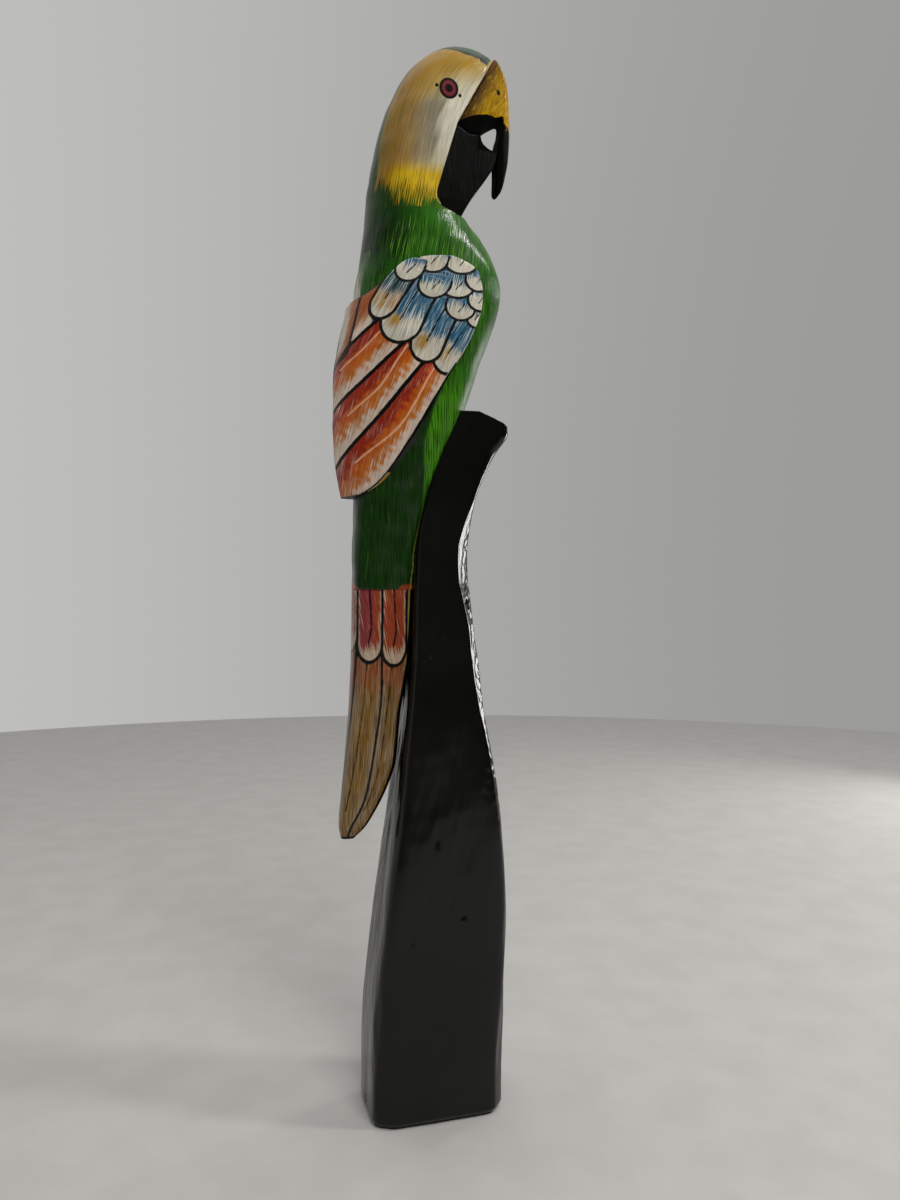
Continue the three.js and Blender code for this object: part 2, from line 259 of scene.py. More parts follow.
class Loft:
    """A smooth skin through stations, measured from its back midline."""

    POINTS = 500

    def __init__(self, rows):
        rows = np.array(rows, float)
        self.heights, self.rows = rows[:, 0], rows[:, 1:]
        steps = np.diff(self.heights)[:, None]
        self.slopes = np.empty_like(self.rows)
        self.slopes[1:-1] = (self.rows[2:] - self.rows[:-2]) / (steps[1:] + steps[:-1])
        self.slopes[0] = (self.rows[1] - self.rows[0]) / steps[0]
        self.slopes[-1] = (self.rows[-1] - self.rows[-2]) / steps[-1]

    def stations(self, z):
        """The station's values at each height."""
        z = np.clip(z, self.heights[0], self.heights[-1])
        i = np.searchsorted(self.heights, z, side="right") - 1
        i = np.clip(i, 0, len(self.heights) - 2)
        step = (self.heights[i + 1] - self.heights[i])[:, None]
        t = (z - self.heights[i])[:, None] / step
        a, b = self.rows[i], self.rows[i + 1]
        p, q = self.slopes[i] * step, self.slopes[i + 1] * step
        return ((2 * t ** 3 - 3 * t ** 2 + 1) * a + (t ** 3 - 2 * t ** 2 + t) * p
                + (3 * t ** 2 - 2 * t ** 3) * b + (t ** 3 - t ** 2) * q)

    def halves(self, z, inset=0.0, front=None):
        """The right-hand half of each section as x, y and arc length from the back."""
        back, broad, fore, half, rear_square, fore_square = self.stations(z).T[:, :, None]
        turn = np.linspace(np.pi, 0, self.POINTS)[None, :]
        c, s = np.cos(turn), np.sin(turn)
        square = np.where(c < 0, rear_square, fore_square)
        reach = np.where(c < 0, broad - back, fore - broad) - inset
        x = broad + reach * np.sign(c) * np.abs(c) ** (2 / square)
        y = -np.maximum(half - inset, 0.2) * np.abs(s) ** (2 / square)
        if front is not None:
            x = soft_min(x, front[:, None], CREASE_ROUND)
        steps = np.hypot(np.diff(x, axis=1), np.diff(y, axis=1))
        arc = np.hstack([np.zeros((len(z), 1)), np.cumsum(steps, axis=1)])
        return x, y, arc


def along_arc(halves, wanted):
    """x and y of each section at the wanted arc lengths, row by row."""
    *both, arcs = halves
    return [np.array([np.interp(w, arc, v) for w, arc, v in zip(wanted, arcs, values)])
            for values in both]


# ------------------------------------------------------------------ meshes


def new_object(name, data):
    """A new object in the scene."""
    made = bpy.data.objects.new(name, data)
    bpy.context.scene.collection.objects.link(made)
    return made


def ring_faces(rings, columns):
    """Quads between rings of points, and fans to a point below the first and above the last."""
    starts = np.arange(rings)[:, None] * columns + np.arange(columns)
    nexts = np.roll(starts, -1, axis=1)
    quads = np.stack([starts[:-1], nexts[:-1], nexts[1:], starts[1:]], -1).reshape(-1, 4)
    below, above = rings * columns, rings * columns + 1
    fans = [(b, a, below) for a, b in zip(starts[0].tolist(), nexts[0].tolist())]
    fans += [(a, b, above) for a, b in zip(starts[-1].tolist(), nexts[-1].tolist())]
    return [tuple(q) for q in quads.tolist()] + fans


def both_sides(half, sign=1):
    """A right-hand half ring of columns, continued round the left-hand side."""
    return np.hstack([half, sign * half[:, -2:0:-1]])


def capped(rings):
    """The points of rings, with the middles of the first and last ring added."""
    ends = np.stack([rings[0].mean(0), rings[-1].mean(0)])
    return np.vstack([rings.reshape(-1, 3), ends])


def lofted_rings(x, y, z):
    """Points of mirrored rings, with the middles of both ends added."""
    rings = np.stack([both_sides(x), both_sides(y, -1), both_sides(z)], -1)
    return capped(rings), rings.shape[1]


def on_rings(half):
    """A value per point of mirrored rings, flattened, with values for the two end points."""
    grid = both_sides(half)
    return np.concatenate([grid.ravel(), [grid[0].mean(), grid[-1].mean()]])


def inward_rings(outline, depths):
    """Rings of an outline's points, moved inwards by each depth."""
    ahead, behind = np.roll(outline, -1, axis=0), np.roll(outline, 1, axis=0)
    way = ahead - behind
    way /= np.linalg.norm(way, axis=1)[:, None]
    normal = np.stack([-way[:, 1], way[:, 0]], -1)
    probe = outline + 0.2 * normal
    inside = depth_inside(outline, probe[:, 0], probe[:, 1]) > 0
    normal[~inside] *= -1
    return [outline + depth * normal for depth in depths]


def flat_mesh(outline, spacing, depths):
    """Triangles that fill an outline, with its own points first and finer towards it."""
    outline = even_points(outline, spacing * 0.8)
    count = len(outline)
    points = [outline]
    for depth, ring in zip(depths, inward_rings(outline, depths)):
        room = depth_inside(outline, ring[:, 0], ring[:, 1])
        points.append(ring[room > depth * 0.93])
    low, high = outline.min(0), outline.max(0)
    rows = np.arange(low[1], high[1], spacing * 0.87)
    for k, v in enumerate(rows):
        u = np.arange(low[0] + (k % 2) * spacing / 2, high[0], spacing)
        grid = np.stack([u, np.full(len(u), v)], -1)
        room = depth_inside(outline, grid[:, 0], grid[:, 1])
        points.append(grid[room > depths[-1] + spacing * 0.6])
    points = np.vstack(points)
    edges = [(i, (i + 1) % count) for i in range(count)]
    vectors = [Vector(p) for p in points.tolist()]
    flat, _, faces, *_ = delaunay_2d_cdt(vectors, edges, [], 1, 1e-6, False)
    flat, faces = np.array([tuple(p) for p in flat]), np.array(faces)
    centres = flat[faces].mean(1)
    return flat, faces[depth_inside(outline, *centres.T) > 0], count


def even_points(outline, spacing):
    """A closed outline's points, respaced evenly."""
    closed = np.vstack([outline, outline[:1]])
    steps = np.hypot(*np.diff(closed, axis=0).T)
    arc = np.concatenate([[0], np.cumsum(steps)])
    wanted = np.linspace(0, arc[-1], int(arc[-1] / spacing), endpoint=False)
    return np.stack([np.interp(wanted, arc, closed[:, k]) for k in (0, 1)], -1)


def two_skins(front, back, faces, rim_count, rim_shares):
    """Points and faces of a closed shell from two skins of one flat mesh, joined at its rim."""
    size = len(front)
    rim = [front[:rim_count] + share * (back[:rim_count] - front[:rim_count])
           for share in rim_shares]
    points = np.vstack([front, back] + rim)
    starts = [0] + [2 * size + k * rim_count for k in range(len(rim))] + [size]
    sheets = [tuple(f) for f in faces.tolist()]
    sheets += [tuple(f) for f in (faces[:, ::-1] + size).tolist()]
    for a, b in zip(starts, starts[1:]):
        for i in range(rim_count):
            k = (i + 1) % rim_count
            sheets.append((a + k, a + i, b + i, b + k))
    return points, sheets


def turned_out(points, faces):
    """The faces, turned over if they enclose a negative volume."""
    corners = [(f[0], b, c) for f in faces for b, c in zip(f[1:-1], f[2:])]
    a, b, c = points[np.array(corners)].transpose(1, 0, 2)
    return faces if np.sum(a * np.cross(b, c)) > 0 else [f[::-1] for f in faces]


# ------------------------------------------------------------------ paint


def colour_at(stops, place):
    """The colour at each place, from (place, colour) pairs."""
    table = np.array([linear(colour) for _, colour in stops])
    return np.stack([np.interp(place, [at for at, _ in stops], channel) for channel in table.T],
                    -1)


def tint(layer, colour, share):
    """Blends a colour into a layer of colours, by each point's share."""
    layer += share[:, None] * (linear(colour) - layer)


class Paint:
    """What is painted at each point: a coat, two colours brushed over it in strokes that
    cover it more or less, dark lines and pale quills, and the way the strokes run."""

    def __init__(self, across, along, coat, seed):
        count = len(across)
        self.comb = np.stack([across, along, np.full(count, float(seed))], -1)
        self.coat = np.tile(linear(coat), (count, 1))
        self.hair = self.coat.copy()
        self.tip = self.coat.copy()
        self.cover, self.tip_cover, self.dull = np.zeros((3, count))
        self.ink, self.quill = np.full((2, count), FAR)

    def wash(self, colour, share, where=1):
        """Blends a colour smoothly into the coat."""
        tint(self.coat, colour, np.broadcast_to(share, self.cover.shape) * where)

    def coat_over(self, colours, position, where):
        """Lays a coat that changes through (position, colour) pairs."""
        self.coat[where] = colour_at(colours, position[where])

    def stroke(self, colour, cover, where=slice(None)):
        """Sets the first brushed colour and its cover."""
        self.hair[where] = linear(colour)
        self.cover[where] = np.broadcast_to(cover, self.cover.shape)[where]

    def touch(self, colour, cover, where=slice(None)):
        """Sets the second brushed colour, over the first, and its cover."""
        self.tip[where] = linear(colour)
        self.tip_cover[where] = np.broadcast_to(cover, self.cover.shape)[where]

    def draw(self, distance, half_width, where=True):
        """Adds a dark line where distance is under half_width."""
        self.ink = np.where(where, np.minimum(self.ink, distance - half_width), self.ink)

    def comb_along(self, across, along, where, seed):
        """Sets how the strokes run."""
        self.comb[where, 0] = across[where]
        self.comb[where, 1] = along[where]
        self.comb[where, 2] += seed

    def spread_to_shell(self, size, rim_count, rim_rings, pale_rim):
        """Carries the paint of a flat mesh to its back and to the rings round its rim, which
        are black but for a pale part."""
        order = np.concatenate([np.arange(size)] * 2 + [np.arange(rim_count)] * rim_rings)
        for name, layer in list(vars(self).items()):
            setattr(self, name, layer[order])
        hidden = np.arange(size, len(order))
        self.coat[hidden] = linear(RIM_OCHRE)
        self.cover[hidden] = self.tip_cover[hidden] = 0
        self.ink[hidden] = np.where(pale_rim[order[hidden]], FAR, -0.5)
        return self

    def store(self, mesh):
        """Writes it all to the mesh's points."""
        for name, colour in (("coat", self.coat), ("hair", self.hair), ("tip", self.tip)):
            rgba = np.hstack([colour, np.ones((len(colour), 1))]).astype(np.float32)
            layer = mesh.attributes.new(name, "FLOAT_COLOR", "POINT")
            layer.data.foreach_set("color", rgba.ravel())
        cover = np.stack([self.cover, self.tip_cover, self.dull], -1)
        lines = np.stack([self.ink, self.quill, np.zeros(len(self.ink))], -1)
        for name, vector in (("cover", cover), ("lines", lines), ("comb", self.comb)):
            layer = mesh.attributes.new(name, "FLOAT_VECTOR", "POINT")
            layer.data.foreach_set("vector", vector.astype(np.float32).ravel())


def feather_axes(s, z, tip, tilt):
    """Across and along a feather whose lowest point is tip, leaning by tilt degrees."""
    angle = np.radians(tilt)
    ds, dz = s - tip[0], z - tip[1]
    across = ds * np.cos(angle) - dz * np.sin(angle)
    along = ds * np.sin(angle) + dz * np.cos(angle)
    return across, along


def tongue(across, along, half, round_height):
    """Distance outside a tongue with straight sides and an oval end."""
    rise = round_height - along
    oval = (np.hypot(across / half, rise / round_height) - 1) * min(half, round_height)
    return np.where(along < round_height, oval, np.abs(across) - half)


# ------------------------------------------------------------------ shader nodes


class Nodes:
    """The node tree of a material or the world, with one call per node."""

    def __init__(self, owner, surface="Principled BSDF"):
        owner.use_nodes = True
        self.owner = owner
        self.nodes = owner.node_tree.nodes
        self.links = owner.node_tree.links
        self.surface = self.nodes[surface]

    def node(self, kind, inputs=(), **settings):
        made = self.nodes.new(kind)
        for key, value in settings.items():
            setattr(made, key, value)
        for key, value in dict(inputs).items():
            self.feed(made.inputs[key], value)
        return made

    def feed(self, socket, value):
        if isinstance(value, bpy.types.NodeSocket):
            self.links.new(value, socket)
        else:
            socket.default_value = value

    def math(self, operation, a, b=0.0):
        return self.node("ShaderNodeMath", {0: a, 1: b}, operation=operation).outputs[0]

    def attribute(self, name):
        return self.node("ShaderNodeAttribute", attribute_name=name)

    def split(self, vector):
        return self.node("ShaderNodeSeparateXYZ", {0: vector}).outputs

    def join(self, x, y, z):
        return self.node("ShaderNodeCombineXYZ", {0: x, 1: y, 2: z}).outputs[0]

    def noise(self, vector, scale=1.0, detail=2.0, roughness=0.5):
        inputs = {"Vector": vector, "Scale": scale, "Detail": detail, "Roughness": roughness}
        return self.node("ShaderNodeTexNoise", inputs).outputs["Fac"]

    def ramp(self, value, low, high, to_low=0.0, to_high=1.0, smoothly=True):
        inputs = {"Value": value, "From Min": low, "From Max": high, "To Min": to_low,
                  "To Max": to_high}
        kind = "SMOOTHSTEP" if smoothly else "LINEAR"
        return self.node("ShaderNodeMapRange", inputs, interpolation_type=kind).outputs[0]

    def mix(self, share, a, b, blend="MIX"):
        made = self.node("ShaderNodeMix", data_type="RGBA", blend_type=blend)
        for key, value in ((0, share), (6, a), (7, b)):
            self.feed(made.inputs[key], value)
        return made.outputs[2]

    def set(self, **values):
        for name, value in values.items():
            self.feed(self.surface.inputs[name.replace("_", " ")], value)

    def bump(self, height, distance, strength):
        inputs = {"Height": height, "Distance": distance, "Strength": strength}
        return self.node("ShaderNodeBump", inputs).outputs[0]

    def place(self):
        """Object coordinates, in metres."""
        return self.node("ShaderNodeTexCoord").outputs["Object"]


def new_material(name):
    return Nodes(bpy.data.materials.new(name))


def colour4(colour):
    return (*linear(colour).tolist(), 1.0)


INK, RIM_OCHRE, QUILL = (5, 5, 4), (190, 146, 36), (236, 180, 142)
IRIS, IRIS_GLINT, PUPIL = (104, 36, 44), (170, 84, 90), (26, 6, 8)
EDGE_YELLOW = (150, 150, 60)


def painted_wood(name, quill=QUILL, with_eyes=False):
    """Brushed colours with hair strokes and fine lines, under gloss varnish."""
    m = new_material(name)
    across, along, seed = m.split(m.attribute("comb").outputs["Vector"])
    cover, tip_cover, dull = m.split(m.attribute("cover").outputs["Vector"])
    ink, pale, _ = m.split(m.attribute("lines").outputs["Vector"])

    def strands(width, length, offset):
        """Noise drawn out along the strokes, from 0 to 1."""
        vector = m.join(m.math("DIVIDE", across, width), m.math("DIVIDE", along, length),
                        m.math("ADD", seed, offset))
        return m.ramp(m.noise(vector, detail=1.0), 0.3, 0.7, smoothly=False)

    first, second = strands(0.55, 7.0, 0.0), strands(0.6, 6.0, 31.0)
    fine, broad = strands(0.3, 5.0, 57.0), strands(1.6, 14.0, 83.0)
    place = m.place()
    blotch = m.noise(place, 45.0, 3.0)

    def brushed(under, over, share, strand):
        fade = m.ramp(m.math("SUBTRACT", share, strand), -0.16, 0.16)
        return m.mix(fade, under, over)

    colour = brushed(m.attribute("coat").outputs["Color"], m.attribute("hair").outputs["Color"],
                     cover, first)
    colour = brushed(colour, m.attribute("tip").outputs["Color"], tip_cover, second)
    shade = m.math("MULTIPLY", m.ramp(fine, 0, 1, 0.72, 1.18, False),
                   m.ramp(broad, 0, 1, 0.86, 1.12, False))
    shade = m.math("MULTIPLY", shade, m.ramp(blotch, 0.3, 0.7, 0.92, 1.08, False))
    grey = m.node("ShaderNodeCombineColor", {0: shade, 1: shade, 2: shade}).outputs[0]
    colour = m.mix(1.0, colour, grey, "MULTIPLY")
    waver = m.math("MULTIPLY", m.math("SUBTRACT", m.noise(place, 420.0, 1.0), 0.5), 0.45)
    colour = m.mix(m.ramp(m.math("ADD", pale, waver), 0.22, -0.18, 0.0, 0.85), colour,
                   colour4(quill))
    line = m.ramp(m.math("ADD", ink, waver), 0.2, -0.16)
    colour = m.mix(line, colour, colour4(INK))
    if with_eyes:
        colour = eyes(m, place, colour)
    relief = m.math("ADD", m.math("MULTIPLY", fine, 0.35), m.math("MULTIPLY", first, 0.3))
    relief = m.math("ADD", relief, m.math("MULTIPLY", broad, 0.6))
    relief = m.math("ADD", relief, m.math("MULTIPLY", line, 0.5))
    normal = m.bump(relief, 0.00016, 0.55)
    rough = m.math("MAXIMUM", m.ramp(blotch, 0.3, 0.7, 0.34, 0.5, False), dull)
    m.set(Base_Color=colour, Normal=normal, Coat_Normal=normal, IOR=1.48, Roughness=rough)
    m.set(Coat_Weight=m.ramp(dull, 0.0, 1.0, 0.5, 0.0), Coat_Roughness=0.11, Coat_IOR=1.45,
          Specular_IOR_Level=0.12)
    return m.owner


def eyes(m, place, colour):
    """A ringed eye on both sides of the head, with a short lash before and behind it."""
    x, _, z = m.split(place)

    def reach(dx, dz):
        across = m.math("SUBTRACT", x, (EYE[0] + dx) * MM)
        up = m.math("MULTIPLY", m.math("SUBTRACT", z, (EYE[1] + dz) * MM), 0.88)
        both = m.math("ADD", m.math("MULTIPLY", across, across), m.math("MULTIPLY", up, up))
        return m.math("SQRT", both)

    radius = reach(0, 0)
    for dx, dz in ((-5.6, 0.9), (5.2, -2.8)):
        lash = m.ramp(reach(dx, dz), 1.0 * MM, 0.6 * MM)
        colour = m.mix(lash, colour, colour4(INK))
    for size, paint in ((4.5, INK), (3.4, IRIS), (1.7, PUPIL)):
        disc = m.ramp(radius, (size + 0.18) * MM, (size - 0.18) * MM)
        colour = m.mix(disc, colour, colour4(paint))
    glint = m.ramp(m.math("ABSOLUTE", m.math("SUBTRACT", radius, 2.5 * MM)), 0.5 * MM, 0.0)
    return m.mix(m.math("MULTIPLY", glint, 0.25), colour, colour4(IRIS_GLINT))


def stump_gloss():
    """Black gloss over carved wood, with vertical grain and the odd scrape."""
    m = new_material("stump_black")
    place = m.place()
    stretched = m.node("ShaderNodeMapping", {"Vector": place, "Scale": (1.0, 1.0, 0.07)})
    grain = m.noise(stretched.outputs[0], 900.0, 4.0, 0.6)
    ripple = m.noise(stretched.outputs[0], 170.0, 2.0)
    cloud = m.noise(place, 22.0, 3.0)
    pores = m.ramp(m.noise(place, 520.0, 2.0), 0.66, 0.76)
    scrape = m.math("MULTIPLY", pores, m.ramp(cloud, 0.5, 0.62))
    colour = m.mix(m.ramp(cloud, 0.35, 0.7), colour4((10, 10, 9)), colour4((17, 17, 15)))
    colour = m.mix(m.math("MULTIPLY", scrape, 0.25), colour, colour4((70, 66, 58)))
    relief = m.math("ADD", m.math("MULTIPLY", grain, 0.3), m.math("MULTIPLY", ripple, 0.7))
    m.set(Base_Color=colour, Normal=m.bump(relief, 0.0003, 0.5), IOR=1.38,
          Roughness=m.ramp(cloud, 0.35, 0.65, 0.12, 0.22, False))
    return m.owner


def bamboo():
    """Bare bamboo for the pegs and pins."""
    m = new_material("bare_bamboo")
    place = m.place()
    stretched = m.node("ShaderNodeMapping", {"Vector": place, "Scale": (1.0, 1.0, 0.1)})
    fibre = m.noise(stretched.outputs[0], 1400.0, 3.0)
    colour = m.mix(m.ramp(fibre, 0.35, 0.65), colour4((168, 132, 82)), colour4((212, 184, 132)))
    m.set(Base_Color=colour, Normal=m.bump(fibre, 0.0001, 0.4),
          Roughness=m.ramp(fibre, 0.3, 0.7, 0.6, 0.75, False))
    return m.owner


# ------------------------------------------------------------------ outlines and skins


class Skin:
    """A loft as a table, for looking points up by arc length and height."""

    STEP = 0.25
    MIDDLE = -6            # x about which the skin's front and back lie

    def __init__(self, loft, low, high, inset=0.0):
        self.low = low
        self.z = np.arange(low, high + self.STEP, self.STEP)
        self.halves = loft.halves(self.z, inset)
        self.total = self.halves[2][:, -1]
        reach = self.total.max() + self.STEP
        arcs = np.arange(0, reach, self.STEP)
        self.x, self.y = along_arc(self.halves, np.tile(arcs, (len(self.z), 1)))

    def rows(self, z):
        """The table's row nearest to each height."""
        return np.clip(np.round((z - self.low) / self.STEP), 0, len(self.z) - 1).astype(int)

    def arc_at(self, x, z):
        """Arc length where the section at each height reaches x."""
        return np.array([np.interp(v, self.halves[0][r], self.halves[2][r])
                         for v, r in zip(x, self.rows(z))])

    def points(self, s, z):
        """Points of the skin at arc lengths and heights."""
        i = np.clip((z - self.low) / self.STEP, 0, len(self.z) - 1.001)
        j = np.clip(s / self.STEP, 0, self.x.shape[1] - 1.001)
        i0, j0 = i.astype(int), j.astype(int)
        a, b = i - i0, j - j0

        def look(table):
            return ((1 - a) * ((1 - b) * table[i0, j0] + b * table[i0, j0 + 1])
                    + a * ((1 - b) * table[i0 + 1, j0] + b * table[i0 + 1, j0 + 1]))

        return np.stack([look(self.x), look(self.y), z], -1)

    def normals(self, s, z):
        """Unit normals, pointing out of the skin."""
        reach = 0.6
        du = self.points(s + reach, z) - self.points(np.maximum(s - reach, 0), z)
        dv = self.points(s, z + reach) - self.points(s, z - reach)
        normal = np.cross(dv, du)
        normal /= np.linalg.norm(normal, axis=1)[:, None] + 1e-12
        side = np.sign(self.points(s, z)[:, 0] - self.MIDDLE)
        outward = -normal[:, 1] + 0.2 * side * normal[:, 0]
        return normal * np.where(outward < 0, -1, 1)[:, None]


body_loft, wing_loft = Loft(BODY_ROWS), Loft(WING_ROWS)
wing_skin = Skin(wing_loft, WING_ROWS[0][0], WING_ROWS[-1][0])
seat_skin = Skin(body_loft, WING_ROWS[0][0], WING_ROWS[-1][0], WING_SEAT)

front_edge = curve(WING_FRONT_EDGE)
nape_edge = curve(WING_NAPE_EDGE)
wing_side_outline = np.vstack([front_edge, nape_edge[:-1]])
front_arc = wing_skin.arc_at(front_edge[:, 0], front_edge[:, 1])
nape_arc = wing_skin.arc_at(nape_edge[:, 0], nape_edge[:, 1])
wing_outline = np.vstack([
    np.stack([front_arc, front_edge[:, 1]], -1), np.stack([nape_arc, nape_edge[:, 1]], -1)[:-1],
])
keep = np.append(np.hypot(*np.diff(wing_outline, axis=0).T) > 0.02, True)
wing_outline = wing_outline[keep]


def rounding(depth, radius):
    """How far a surface falls away, this deep inside a rounded edge."""
    short = np.clip(radius - depth, 0, radius)
    return radius - np.sqrt(radius ** 2 - short ** 2)


# ------------------------------------------------------------------ body


# The side green is painted shade and the light green is painted light; the other greens are the
# paint's own.
GREEN, DEEP_GREEN, LIT_BELLY_GREEN = (40, 100, 8), (7, 30, 3), (78, 152, 20)
SHADED_SIDE_GREEN, BAND_YELLOW, BAND_ORANGE = (16, 46, 8), (214, 176, 16), (124, 86, 6)
NAPE_GREEN, LEAF_GREEN = (24, 66, 30), (112, 176, 48)
CROWN_OCHRE, FACE_BROWN = (122, 90, 8), (116, 88, 40)
TAIL_RED, TAIL_MAGENTA, TAIL_CREAM = (150, 62, 34), (140, 56, 62), (188, 168, 146)

COLLAR = 415               # below this height the body is all green
# Height and x of the edge between the dark sides and the lighter belly, which are painted shade and
# painted light.
BELLY_EDGE = [(275, -7), (286, -6.2), (297, -6.7), (310, -6.9), (326, -2.7), (338, 2.2)]
# Height of the thin pale line down the front edge, and its arc from the front's midline.
PALE_EDGE = [(240, 7.2), (262, 7.5), (290, 8.5)]
# Half width of the green stripe over the crown by x, and behind it by height.
CROWN_STRIPE = [(-5, 5), (0, 7.5), (8, 10.9), (12, 11.7), (19, 12.1), (24, 12), (30, 10.5)]
NAPE_STRIPE = [(430, 8), (450, 5.5), (480, 4.5)]

# Coats of the head, by height, as (distance back from the face's edge, colour). The grey band behind
# the cream cheek is a painted reflection in the varnish and the brown behind it is painted shade;
# the cream and yellow are the paint's own.
HEAD_PAINT_SHADE_AND_SHEEN = [
    (430, [(0, (196, 186, 150)), (9, (186, 170, 130)), (18, (170, 128, 60)), (30, (120, 96, 36))]),
    (447, [(0, (218, 212, 192)), (5.6, (212, 206, 186)), (7, (142, 134, 114)),
           (14, (148, 136, 110)), (17, (160, 134, 88)), (24, (146, 112, 52)), (32, (128, 100, 30))]),
    (464, [(0, (228, 224, 206)), (8.8, (222, 216, 196)), (10.2, (144, 136, 114)),
           (19, (150, 138, 110)), (22, (164, 136, 84)), (31, (146, 112, 34))]),
    (475, [(0, (228, 220, 194)), (11, (218, 208, 174)), (13, (186, 170, 128)), (19, (194, 164, 88)),
           (28, (170, 130, 42)), (36, (150, 112, 28))]),
    (485, [(0, (218, 190, 110)), (8, (206, 166, 52)), (24, (192, 148, 38)), (40, (160, 120, 30))]),
    (496, [(0, (206, 160, 40)), (40, (196, 148, 34))]),
]


def make_body():
    """Torso and head in one block, with the face cut flat and seats for the wings."""
    z = np.concatenate([
        [TAIL_HIGH[2] + 0.05], np.arange(TAIL_JOINT + 0.3, 413, 0.62), np.arange(413.3, 416.7, 0.2),
        np.arange(417, HEIGHT - 4.3, 0.6), HEIGHT - 4 * np.linspace(1, 0, 16) ** 2,
    ])
    columns, pinned = 102, 74
    limit = look_up(FACE_LINE, z)
    free = body_loft.halves(z)
    outer = body_loft.halves(z, front=limit)
    total = outer[2][:, -1]
    past = free[0] > limit[:, None]
    uncut = free[2][:, -1]
    share = outer[2][np.arange(len(z)), past.argmax(1)] / uncut
    share[z < LEDGE] = share[z >= LEDGE][0]
    crease = np.where(past.any(1) | (z < LEDGE), np.minimum(share * uncut, 0.97 * total),
                      0.97 * total)
    share = np.linspace(0, 1, pinned)
    wanted = np.hstack([
        crease[:, None] * share,
        crease[:, None] + (total - crease)[:, None] * np.linspace(0, 1, columns - pinned + 1)[1:],
    ])
    x, y = along_arc(outer, wanted)
    seat = body_loft.halves(z, WING_SEAT + GLUE_GAP)
    seat_wanted = wanted * (seat[2][:, -1] / uncut)[:, None]
    seat_x, seat_y = along_arc(seat, seat_wanted)
    zz = np.repeat(z[:, None], columns, 1)
    depth = depth_inside(wing_side_outline, x, zz)
    sunk = smooth(1.0, 2.0, depth)
    hand = 0.16 * waves(11, 24, 9, 40)(wanted, zz) * smooth(0, 4, HEIGHT - zz)
    hand = np.where(zz > LEDGE, hand * smooth(-0.5, 1, crease[:, None] - wanted), hand)
    radial = np.hypot(x - seat_x, y - seat_y) + 1e-9
    shift = (1 - sunk) * hand / radial
    x = x + sunk * (seat_x - x) + shift * (x - seat_x)
    y = y + sunk * (seat_y - y) + shift * (y - seat_y)
    points, ring = lofted_rings(x, y, zz)
    faces = ring_faces(len(z), ring)
    s = on_rings(wanted)
    back_from_face = on_rings(crease[:, None] - wanted)
    front_room = on_rings(total[:, None] - wanted)
    paint = paint_body(points, s, back_from_face, front_room)
    return points, faces, paint


def paint_body(points, s, face, front_room):
    """Paints the body, by arc from the back, distance back from the face and arc left
    to the front's midline."""
    x, y, z = points.T
    paint = Paint(1.8 * np.where(y > 0, -s, s), 0.4 * z, GREEN, 1.0)
    # The head's colours, including a painted reflection and painted shade behind the cheek.
    head_paint_shade_and_sheen(paint, face, z)
    paint.wash(CROWN_OCHRE, 0.5 * smooth(464, 486, z) * (face > 0))
    paint.wash(FACE_BROWN, smooth(0.5, -1.5, face) * smooth(452, 462, z))
    band = np.tile(linear(BAND_YELLOW), (len(z), 1))
    tint(band, BAND_ORANGE, 0.8 * smooth(17, 27, face))
    paint.coat += (0.95 * smooth(438, 430, z))[:, None] * (band - paint.coat)
    paint.stroke(DEEP_GREEN, 0.45 * smooth(431, 420, z) * (z > 410))

    spiky = 428 + 9 * smooth(24, 9, s)
    green = smooth(spiky, spiky - 18, z)
    stripe = look_up(CROWN_STRIPE, x)
    stripe = np.where(z > NAPE_STRIPE[-1][0], stripe, look_up(NAPE_STRIPE, z))
    on_back = smooth(stripe + 0.8, stripe - 0.8, np.abs(y)) * (face > 1)
    paint.touch(GREEN, np.maximum(green, on_back))
    tint(paint.tip, NAPE_GREEN, smooth(418, 434, z))
    paint.draw(np.abs(np.abs(y) - stripe), 0.5, (x > 2) & (x < 25) & (face > 0.5) & (z > 484))

    low = z < COLLAR
    belly_edge = look_up(BELLY_EDGE, z)
    # Painted shade: a darker green tint on the flanks behind the belly's edge and on the neck.
    side = smooth(belly_edge + 0.5, belly_edge - 0.5, x) * smooth(352, 335, z)
    neck_shade = smooth(40, 18, s) * smooth(375, 405, z)
    shade = np.maximum(side, neck_shade)
    tint(paint.tip, SHADED_SIDE_GREEN, 0.85 * shade * (z < 432))
    # Painted light: a lighter green tint on the belly in front of its edge.
    belly_light = smooth(belly_edge - 0.5, belly_edge + 0.5, x) * smooth(345, 325, z)
    tint(paint.tip, LIT_BELLY_GREEN, 0.8 * belly_light * low)
    paint.coat[low] = linear(DEEP_GREEN)
    paint.stroke(LEAF_GREEN, 0.32 * smooth(330, 350, z) * smooth(12, 30, s), low)
    # Thinner green strokes, thinnest on the neck, let more deep green show there: painted shade on
    # the neck.
    thinned = (0.38 + 0.2 * neck_shade) * smooth(COLLAR, 406, z)
    paint.tip_cover[low] = np.minimum(paint.tip_cover, 1 - thinned)[low]

    edge_line = np.abs(front_room - look_up(PALE_EDGE, z))
    paint.quill = np.where(z < 296, edge_line - 0.3, FAR)
    ends = 241.6 + 3.5 * smooth(8, 3, s) + 2.5 * smooth(24, 28, s)
    for layer in (paint.coat, paint.hair, paint.tip):
        tint(layer, TAIL_RED, smooth(ends + 0.4, ends - 0.4, z))
    patch = (s < 9.5) & (z > 365) & (z < 396)
    paint.coat[patch] = linear(CREAM)
    paint.cover[patch] = 0
    green_over = np.maximum(smooth(372, 394, z), smooth(6, 9.5, s))
    paint.tip_cover[patch] = green_over[patch]
    return paint


